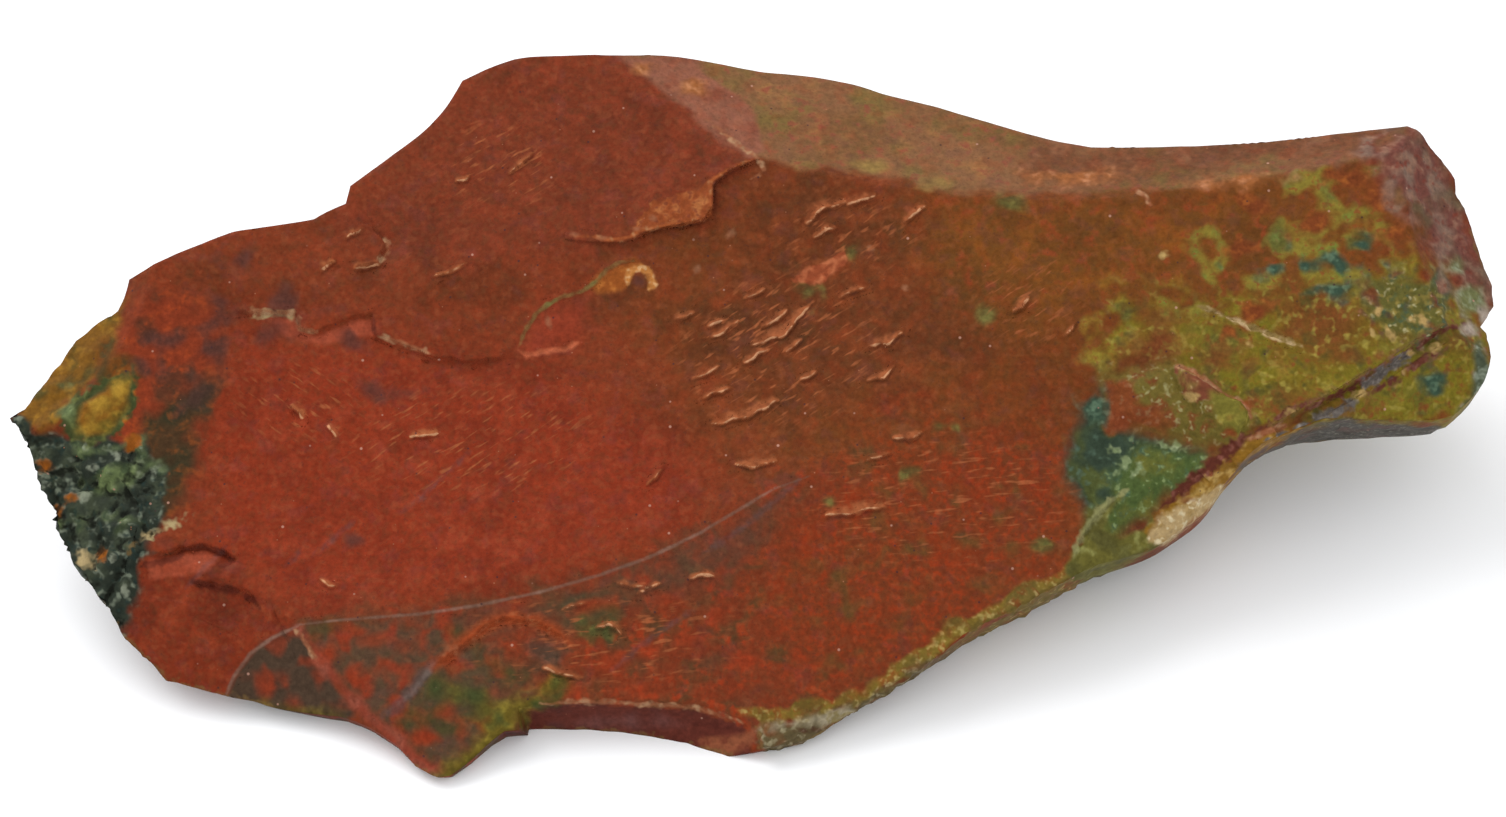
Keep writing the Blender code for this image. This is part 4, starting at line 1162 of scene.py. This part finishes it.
def rim_relief(points, rim, depths, settings):
    """Relief of the worn rims: chips, deeper where the rim has a crust."""
    crumbling = smooth(np.maximum(depths["olive_rim"], depths["rim_crust"]), *CRUST_EDGE)
    worn = np.exp(-rim / RIM_WEAR_WIDTH) * (1.0 + CRUST_WEAR * crumbling)
    chosen = np.nonzero(worn > LEAST_WEAR)[0]
    chips = np.maximum(waves(points[chosen] / MM, CHIP_LENGTH, CHIP_SEED) + CHIP_LEVEL, 0.0)
    relief = np.zeros(len(points))
    relief[chosen] = RIM_WEAR * settings.rim_wear * worn[chosen] * chips
    return -relief


def bowl_around_scar(u, v):
    """The face's own surface, were the oval scar not there."""
    return np.minimum(bowl_height(u, v, "broad"), bowl_height(u, v, "red"))


def close_scar(bm):
    """The oval scar is mostly a matter of colour and a low lip: the solid's pocket is filled."""
    face = to_face(np.array([face.calc_center_median() for face in bm.faces]))
    below = face[:, 2] < bowl_around_scar(face[:, 0], face[:, 1]) - POCKET_LEAST
    inside = (depth_inside(face[:, :2], SCAR_OUTLINE) > -POCKET_MARGIN) & (face[:, 2] > -POCKET_MOST)
    pocket = [face for face, take in zip(bm.faces[:], below & inside) if take]
    bmesh.ops.delete(bm, geom=pocket, context="FACES")
    filled = bmesh.ops.edgeloop_fill(bm, edges=[edge for edge in bm.edges if edge.is_boundary])["faces"]
    bmesh.ops.triangulate(bm, faces=filled)


def level_scar(points):
    """The filled pocket's points, brought to the surface around it."""
    face = to_face(points)
    level = bowl_around_scar(face[:, 0], face[:, 1])
    near = np.abs(face[:, 2] - level) < LEVEL_REACH
    inside = (depth_inside(face[:, :2], SCAR_OUTLINE) > -SCAR_MARGIN) & near
    face[inside, 2] = level[inside]
    return from_face(face)


def long_edges(bm, settings):
    """The edges that are too long. The limit is wider on the back and the underside."""
    axis = Vector(face_axis())
    shown = {edge for face in bm.faces if face.normal.dot(axis) > SHOWN for edge in face.edges}
    return [
        edge for edge in bm.edges
        if edge.calc_length() > (settings.spacing if edge in shown else settings.hidden_spacing)
    ]


def edges_beside(bm, lines, areas, settings):
    """The edges near the lines or in the lumpy areas that are too long to draw them."""
    axis = Vector(face_axis())
    faces = [face for face in bm.faces if face.normal.dot(axis) > FACED]
    flat = seen(to_face(np.array([face.calc_center_median() for face in faces])))
    close = np.zeros(len(flat), bool)
    for line in lines:
        low, high = np.min(line, axis=0) - FINE_MARGIN, np.max(line, axis=0) + FINE_MARGIN
        near = np.nonzero(((flat > low) & (flat < high)).all(axis=1))[0]
        if len(near):
            close[near] |= follow(flat[near], line)[0] < FINE_REACH
    fine = {edge for face, take in zip(faces, close) if take for edge in face.edges}
    lumpy = np.any([depth_inside(flat, area) > -FINE_AREA_MARGIN for area in areas], axis=0)
    middling = {edge for face, take in zip(faces, lumpy) if take for edge in face.edges}
    return [
        edge for edge in bm.edges
        if (edge in fine and edge.calc_length() > settings.fine_spacing)
        or (edge in middling and edge.calc_length() > MIDDLING * settings.fine_spacing)
    ]


def split(bm, edges):
    """Halves the edges, and turns the triangles' other edges the better way, but no ridge."""
    bmesh.ops.subdivide_edges(bm, edges=edges, cuts=1, use_grid_fill=True)
    wide = [face for face in bm.faces if len(face.verts) > 3]
    bmesh.ops.triangulate(bm, faces=wide, quad_method="SHORT_EDGE", ngon_method="EAR_CLIP")
    plain = [edge for edge in bm.edges if edge.calc_face_angle(0.0) < RIDGE_ANGLE]
    bmesh.ops.beautify_fill(bm, faces=bm.faces[:], edges=plain)
    bm.normal_update()


def fine_lines():
    """The lines on the face that need small triangles: steps, bruises and the finest strokes."""
    lines = [traced(line) for line, _, _ in STEPS.values()]
    lines += [line for line, _ in all_bruises()]
    strokes = [shapes for name, _, shapes, *_ in PAINT if name in FINE_STROKES]
    return lines + [traced(line) for shapes in strokes for line, _ in shapes]


def even_mesh(settings):
    """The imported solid's own faces, split into small triangles and freed of their flat cells."""
    bm = bmesh.new()
    bm.from_mesh(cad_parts[NODE].data)
    bmesh.ops.remove_doubles(bm, verts=bm.verts[:], dist=WELD)
    bmesh.ops.dissolve_degenerate(bm, dist=SLIVER, edges=bm.edges[:])
    close_scar(bm)
    bmesh.ops.triangulate(bm, faces=[face for face in bm.faces if len(face.verts) > 3])
    bm.normal_update()
    rims = rim_points(bm)
    for _ in range(SPLITS):
        split(bm, long_edges(bm, settings))
    lines = fine_lines()
    areas = [traced(shape) for name, _, shapes, *_ in PAINT if name in FINE_AREAS for shape in shapes]
    for _ in range(FINE_SPLITS):
        split(bm, edges_beside(bm, lines, areas, settings))
    mesh = bpy.data.meshes.new("broken_jasper")
    bm.to_mesh(mesh)
    bm.free()
    points = level_scar(read_vertices(mesh, "co"))
    rim = distance_from(points, rims)
    points = even_out(points, triangles_of(mesh), rim < RIM_HELD, settings.evening)
    points = relax(points, triangles_of(mesh))
    write_points(mesh, points)
    set_attribute(mesh, "rim", rim)
    return mesh


def distance_from(points, ridges):
    """Distance of each point from the nearest of the given places, in millimetres."""
    tree = kdtree.KDTree(len(ridges))
    for index, point in enumerate(ridges):
        tree.insert(point, index)
    tree.balance()
    return np.array([tree.find(point)[2] for point in points]) / MM


def shape_relief(mesh, settings):
    """Moves the points for steps, bruises, rough zones, waves and worn rims, and keeps what the
    finish needs as attributes."""
    points = read_vertices(mesh, "co")
    normals = read_vertices(mesh, "normal")
    face = to_face(points)
    flat = seen(face)
    facing = normals @ face_axis()
    on_top = smooth(facing, *ON_TOP)
    rim = read_attribute(mesh, "rim")

    size, length = RAGGED
    ragged = size * waves(points / MM, length, RAGGED_SEED)
    bruises, parts = bruise_relief(flat, ragged)
    low_relief = (step_relief(flat, ragged) + bruises * settings.bruise_height) * smooth(rim, *RIM_CLEAR)
    along_face = low_relief + soften_crossings(face)
    along_normal = np.zeros(len(points))
    for number, (height, length) in enumerate(WAVES):
        along_normal += height * waves(points / MM, length, WAVE_SEED + number)
    depths = {name: painted_depth(flat, kind, shapes) for name, kind, shapes, *_ in PAINT}
    lumps = lump_relief(points, depths)
    along_normal += lumps * (LUMPS_AT_RIM + (1.0 - LUMPS_AT_RIM) * smooth(rim, *LUMPS_FROM_RIM))
    along_normal += rim_relief(points, rim, depths, settings)

    moved = points + (along_face * on_top)[:, None] * face_axis() * MM
    moved += (along_normal * settings.roughness_height)[:, None] * normals * MM
    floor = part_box(NODE)[0][2]
    moved[:, 2] = np.maximum(moved[:, 2], floor)
    moved[points[:, 2] < floor + RESTING * MM, 2] = floor
    write_points(mesh, moved)

    for name, share in parts.items():
        set_attribute(mesh, name, share * on_top)
    set_attribute(mesh, "under", smooth(-facing, *UNDER))
    set_attribute(mesh, "lumps", lumps)
    for name, (_, spots) in STREAKS.items():
        set_attribute(mesh, name, np.maximum(painted_depth(flat, "spots", spots), -DEEPEST))
    for name, kind, *_ in PAINT:
        hidden = DEEPEST * (1.0 - smooth(facing, *MARKED)) if kind != "area" else 0.0
        set_attribute(mesh, name, np.clip(depths[name] - hidden, -DEEPEST, DEEPEST))


def add(tree, kind, inputs, settings=(), out=0):
    """Adds a node. Its inputs, by name or number, are values or the outputs that feed them."""
    node = tree.nodes.new("ShaderNode" + kind)
    for name, value in dict(settings).items():
        setattr(node, name, value)
    for name, value in inputs.items():
        if isinstance(value, bpy.types.NodeSocket):
            tree.links.new(value, node.inputs[name])
        else:
            node.inputs[name].default_value = value
    return node.outputs[out]


def lay(tree, below, above, value, start, full, share=1.0):
    """Covers a colour with another where a value runs from start to full. A share may be a socket."""
    cover = add(
        tree, "MapRange", {"Value": value, "From Min": start, "From Max": full, "To Max": share},
        {"interpolation_type": "SMOOTHSTEP"},
    )
    return add(tree, "Mix", {0: cover, 6: below, 7: above}, {"data_type": "RGBA"}, 2)


def noise_patterns(tree, place):
    """The noise patterns, each around 0, and the thin net where one of them crosses 0."""
    patterns = {}
    for name, (size, detail, rough, distortion) in PATTERNS.items():
        noise_value = add(tree, "TexNoise", {
            "Vector": place, "Scale": 1.0 / (size * MM), "Detail": detail, "Roughness": rough,
            "Distortion": distortion,
        })
        patterns[name] = add(tree, "Math", {0: noise_value, 1: 0.5}, {"operation": "SUBTRACT"})
    crossing = add(tree, "Math", {0: patterns["veil"]}, {"operation": "ABSOLUTE"})
    patterns["net"] = add(tree, "Math", {0: NET_WIDTH, 1: crossing}, {"operation": "SUBTRACT"})
    return patterns


def jasper(settings):
    """Jasper, broken and unpolished: opaque microcrystalline quartz with a dull waxy lustre.
    Iron gives the reds and browns in soft clouds and blotches, chlorite the greens, and thin
    lifted flakes look pale."""
    material = bpy.data.materials.new("broken jasper")
    material.use_nodes = True
    tree = material.node_tree
    place = add(tree, "TexCoord", {}, out="Object")
    patterns = noise_patterns(tree, place)
    under, over, start, full = BASE
    colour = lay(tree, linear(under), linear(over), patterns["patches"], start, full)
    colour = painted(tree, colour, GROUND, patterns, settings)
    for shade, pattern, start, full, share in TINTS:
        colour = lay(tree, colour, linear(shade), patterns[pattern], start, full, share)
    colour = painted(tree, colour, DETAILS, patterns, settings)
    colour = lump_shade_and_highlight(tree, colour, patterns)
    colour = weathered(tree, colour, patterns)
    colour = bruised(tree, colour, patterns, settings)
    colour = streaked(tree, colour, place, settings)
    colour = specked(tree, colour, place)
    tone = settings.brightness
    for pattern, strength in TONES.items():
        change = add(tree, "Math", {0: patterns[pattern], 1: strength, 2: 1.0}, {"operation": "MULTIPLY_ADD"})
        tone = add(tree, "Math", {0: tone, 1: change}, {"operation": "MULTIPLY"})
    grains = add(tree, "Math", {0: patterns["grit"], 1: patterns["speckle"]}, {"operation": "ADD"})
    finish = {
        "Base Color": add(tree, "HueSaturation", {
            "Color": colour, "Value": tone, "Saturation": settings.saturation,
        }),
        "Normal": add(tree, "Bump", {
            "Strength": settings.grain_strength, "Distance": GRAIN_DEPTH * MM, "Height": grains,
        }),
    }
    shader = tree.nodes["Principled BSDF"]
    for name, socket in finish.items():
        tree.links.new(socket, shader.inputs[name])
    shader.inputs["Roughness"].default_value = settings.roughness
    shader.inputs["IOR"].default_value = QUARTZ_IOR
    shader.inputs["Specular IOR Level"].default_value = LUSTRE
    return material


def painted(tree, colour, entries, patterns, settings):
    """Lays the entries of a list over a colour, each where its distance attribute says."""
    for name, _, _, softness, wander, own, mottles in entries:
        paint = getattr(settings, own) if hasattr(settings, own) else linear(own)
        for mottle, pattern, start, full in mottles:
            share = FINE_MOTTLE_SHARE if pattern in FINE_PATTERNS else MOTTLE_SHARE
            start, full = start - MOTTLE_EARLIER, full + MOTTLE_LATER
            paint = lay(tree, paint, linear(mottle), patterns[pattern], start, full, share)
        edge = next(pattern for pattern, least in EDGE_PATTERNS.items() if softness > least)
        inside = add(tree, "Attribute", {}, {"attribute_name": name}, "Fac")
        depth = add(tree, "Math", {0: patterns[edge], 1: WANDER * wander, 2: inside}, {
            "operation": "MULTIPLY_ADD",
        })
        colour = lay(tree, colour, paint, depth, -softness, softness, FAINT.get(name, 1.0))
    return colour


def lump_shade_and_highlight(tree, colour, patterns):
    """Lumpy places: painted shade darkens the crevices, and a painted highlight makes the tops of the lumps
    pale.
    """
    lumps = add(tree, "Attribute", {}, {"attribute_name": "lumps"}, "Fac")
    lumps = add(tree, "Math", {0: patterns["speckle"], 1: LUMP_WAVER, 2: lumps}, {
        "operation": "MULTIPLY_ADD",
    })
    for shade, start, full, share in LUMP_SHADE_AND_HIGHLIGHT:
        colour = lay(tree, colour, linear(shade), lumps, start, full, share)
    return colour


def weathered(tree, colour, patterns):
    """The underside: duller, with a thin grey-brown rind in patches."""
    under = add(tree, "Attribute", {}, {"attribute_name": "under"}, "Fac")
    darker, paler, start, full = RIND
    rind = lay(tree, linear(darker), linear(paler), patterns["blots"], start, full)
    share = add(tree, "Math", {0: under, 1: RIND_SHARE}, {"operation": "MULTIPLY"})
    return lay(tree, colour, rind, patterns["clouds"], *RIND_PATCHES, share)


def bruised(tree, colour, patterns, settings):
    """The lifted flakes: a bright, broken edge, a fading fill behind it and a dark line of painted
    shadow in front. The outer rims are a little paler too, where they are worn."""
    paints = {
        "shade": (linear(BRUISE_SHADOW_COLOUR), BRUISE_SHADOW_SHARE),
        "fill": (settings.flake, settings.bruise_paleness),
        "lip": (linear(BRUISE_LIP), settings.bruise_paleness),
    }
    for name, (pattern, waver, start, full) in BRUISE_PARTS.items():
        share = add(tree, "Attribute", {}, {"attribute_name": "bruise_" + name}, "Fac")
        change = add(tree, "Math", {0: patterns[pattern], 1: waver, 2: 1.0}, {"operation": "MULTIPLY_ADD"})
        value = add(tree, "Math", {0: share, 1: change}, {"operation": "MULTIPLY"})
        paint, cover = paints[name]
        colour = lay(tree, colour, paint, value, start, full, cover)
    rim = add(tree, "Attribute", {}, {"attribute_name": "rim"}, "Fac")
    worn = add(tree, "Math", {0: patterns["speckle"], 1: RIM_WAVER, 2: rim}, {"operation": "MULTIPLY_ADD"})
    shade, start, full, share = WORN_RIM
    return lay(tree, colour, linear(shade), worn, start, full, share)


def streaked(tree, colour, place, settings):
    """The short scratches: stretched noise, turned to each field's slope. They are drawn
    wider than they are, or else they would not show."""
    for name, (slope, _) in STREAKS.items():
        turned = add(tree, "Mapping", {
            "Vector": place, "Rotation": (0.0, 0.0, math.radians(slope)),
            "Scale": [size * MM for size in STREAK_SIZE],
        }, {"vector_type": "TEXTURE"})
        dashes = add(tree, "TexNoise", {"Vector": turned, "Scale": 1.0, "Detail": 1.0})
        field = add(tree, "Attribute", {}, {"attribute_name": name}, "Fac")
        share = add(tree, "MapRange", {
            "Value": field, "From Min": 0.0, "From Max": STREAK_FADE, "To Max": STREAK_SHARE,
        })
        colour = lay(tree, colour, settings.flake, dashes, *STREAK_RANGE, share)
    return colour


def specked(tree, colour, place):
    """Pale specks of dust and dark pinholes, drawn at about twice their size so that they show."""
    for cell, radius, chance, shade in SPECKS:
        dots = {
            name: add(tree, "TexVoronoi", {"Vector": place, "Scale": 1.0 / (cell * MM)}, out=name)
            for name in ("Distance", "Color")
        }
        lot = add(tree, "SeparateColor", {"Color": dots["Color"]})
        share = add(tree, "MapRange", {
            "Value": lot, "From Min": chance, "From Max": chance + SPECK_LOT, "To Max": SPECK_SHARE,
        })
        outer, inner = (radius * part for part in SPECK_EDGE)
        colour = lay(tree, colour, linear(shade), dots["Distance"], outer, inner, share)
    return colour


def paper(settings):
    """White paper: matte and bright, so that the stone stands on a plain ground."""
    material = bpy.data.materials.new("white paper")
    material.use_nodes = True
    shader = material.node_tree.nodes["Principled BSDF"]
    shader.inputs["Base Color"].default_value = settings.paper
    shader.inputs["Roughness"].default_value = PAPER_ROUGHNESS
    shader.inputs["Specular IOR Level"].default_value = PAPER_LUSTRE
    return material


def colour_setting(name, description, value):
    """A colour that a user can change."""
    return bpy.props.FloatVectorProperty(
        name=name, description=description, default=linear(value), size=4, min=0.0, max=1.0,
        subtype="COLOR",
    )


def number_setting(name, description, value, unit="NONE"):
    """A length, a power or a plain number that a user can change."""
    return bpy.props.FloatProperty(name=name, description=description, default=value, unit=unit)


class StoneSettings(bpy.types.PropertyGroup):
    """How finely the stone is made, how strong its relief is, and its main colours."""

    brick: colour_setting("Brick", "Red of the bowl-shaped scar", "853019")
    plateau: colour_setting("Plateau", "Brown red of the upper face", "75331d")
    brown: colour_setting("Brown", "Brown of the middle", "6c3a18")
    tan: colour_setting("Tan", "Tan of the neck", "72441a")
    bevel: colour_setting("Bevel", "Hazy brown of the back bevel", "80583a")
    olive: colour_setting("Olive", "Olive of the neck's front", "74681e")
    matrix: colour_setting("Matrix", "Dark rock at the left end", "2d332a")
    flake: colour_setting("Flake", "Pale lifted flakes", "9e5935")
    brightness: number_setting("Brightness", "Strength of the colours", 0.82)
    saturation: number_setting("Saturation", "Depth of the colours", 1.0)
    spacing: number_setting("Spacing", "Longest edge on the broad face", 0.00052, "LENGTH")
    fine_spacing: number_setting("Fine Spacing", "Longest edge beside steps and flakes", 0.00022, "LENGTH")
    hidden_spacing: number_setting("Hidden Spacing", "Longest edge on the hidden sides", 0.001, "LENGTH")
    evening: bpy.props.IntProperty(
        name="Evening", description="Rounds that take the flat cells out of the scars", default=50,
    )
    bruise_height: number_setting("Bruise Height", "Height of the lifted flakes", 1.0)
    rim_wear: number_setting("Rim Wear", "Depth of the chips along the rims", 1.0)
    roughness_height: number_setting("Unevenness", "Height of waves and grains", 1.0)
    roughness: number_setting("Roughness", "Roughness of the broken stone", 0.5)
    grain_strength: number_setting("Grain", "Strength of the fine grain", 0.5)
    bruise_paleness: number_setting("Bruise Paleness", "How pale flakes are", 0.95)


class StageSettings(bpy.types.PropertyGroup):
    """Floor, camera and light."""

    paper: colour_setting("Paper", "Colour of the paper under the stone", "f2f3f5")
    floor_size: number_setting("Floor Size", "Width of the floor", 3.0, "LENGTH")
    key_power: number_setting("Key Power", "Power of the key light", 5.4, "POWER")
    sky: number_setting("Sky", "Strength of the light from all around", 1.13)


class STONE_OT_dress(bpy.types.Operator):
    """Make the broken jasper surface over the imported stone."""

    bl_idname = "stone.dress"
    bl_label = "Dress Stone"

    def execute(self, context):
        settings = context.scene.stone_settings
        mesh = even_mesh(settings)
        shape_relief(mesh, settings)
        mesh.shade_smooth()
        mesh.materials.append(jasper(settings))
        stone = bpy.data.objects.new("broken_jasper", mesh)
        context.scene.collection.objects.link(stone)
        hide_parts(NODE)
        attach(stone, "root")
        return {"FINISHED"}


class STONE_OT_stage(bpy.types.Operator):
    """Set up the floor, the light and the camera."""

    bl_idname = "stone.stage"
    bl_label = "Set Stage"

    def execute(self, context):
        settings = context.scene.stage_settings
        bm = bmesh.new()
        bmesh.ops.create_grid(bm, x_segments=1, y_segments=1, size=settings.floor_size / 2)
        mesh = bpy.data.meshes.new("floor")
        bm.to_mesh(mesh)
        bm.free()
        mesh.materials.append(paper(settings))
        floor = bpy.data.objects.new("floor", mesh)
        context.scene.collection.objects.link(floor)

        world = bpy.data.worlds.new("soft light")
        context.scene.world = world
        world.use_nodes = True
        sky = world.node_tree.nodes["Background"]
        sky.inputs["Color"].default_value = (1.0, 1.0, 1.0, 1.0)
        sky.inputs["Strength"].default_value = settings.sky
        add_key_light(context, settings)
        add_camera(context)
        context.scene.view_settings.view_transform = "Standard"
        return {"FINISHED"}


def add_key_light(context, settings):
    """A wide soft window, behind the stone and to its left."""
    light = bpy.data.lights.new("window", "AREA")
    light.shape = "RECTANGLE"
    light.size, light.size_y = WINDOW_SIZE
    light.energy = settings.key_power
    window = bpy.data.objects.new("window", light)
    context.scene.collection.objects.link(window)
    place = Vector(WINDOW_PLACE)
    window.matrix_world = Matrix.Translation(place) @ place.to_track_quat("Z", "Y").to_matrix().to_4x4()


def add_camera(context):
    """The photograph's camera."""
    data = bpy.data.cameras.new("camera")
    data.sensor_width = SENSOR_WIDTH
    data.lens = data.sensor_width * SIGHT_FOCUS / PHOTO_WIDTH
    data.clip_start = NEAREST
    camera = bpy.data.objects.new("camera", data)
    context.scene.collection.objects.link(camera)
    target = Vector(FACE_MIDDLE * MM)
    back = Vector((0.0, -math.cos(SIGHT_RISE), math.sin(SIGHT_RISE)))
    turn = Matrix.Rotation(math.pi / 2 - SIGHT_RISE, 4, "X")
    camera.matrix_world = Matrix.Translation(target + back * SIGHT_DISTANCE * MM) @ turn
    context.scene.camera = camera


class STONE_PT_panel(bpy.types.Panel):
    """Buttons for the stone and its stage."""

    bl_idname = "STONE_PT_panel"
    bl_label = "Rough Jasper Stone"
    bl_space_type = "VIEW_3D"
    bl_region_type = "UI"
    bl_category = "Stone"

    def draw(self, context):
        layout = self.layout
        for name in ("spacing", "brick", "plateau", "brown", "tan", "bevel", "olive", "matrix", "flake"):
            layout.prop(context.scene.stone_settings, name)
        layout.operator(STONE_OT_dress.bl_idname)
        layout.prop(context.scene.stage_settings, "key_power")
        layout.operator(STONE_OT_stage.bl_idname)


CLASSES = (StoneSettings, StageSettings, STONE_OT_dress, STONE_OT_stage, STONE_PT_panel)


def register():
    for cls in CLASSES:
        bpy.utils.register_class(cls)
    bpy.types.Scene.stone_settings = bpy.props.PointerProperty(type=StoneSettings)
    bpy.types.Scene.stage_settings = bpy.props.PointerProperty(type=StageSettings)


def unregister():
    del bpy.types.Scene.stage_settings
    del bpy.types.Scene.stone_settings
    for cls in reversed(CLASSES):
        bpy.utils.unregister_class(cls)


def main():
    register()
    bpy.ops.stone.stage()
    bpy.ops.stone.dress()


if __name__ == "__main__":
    main()
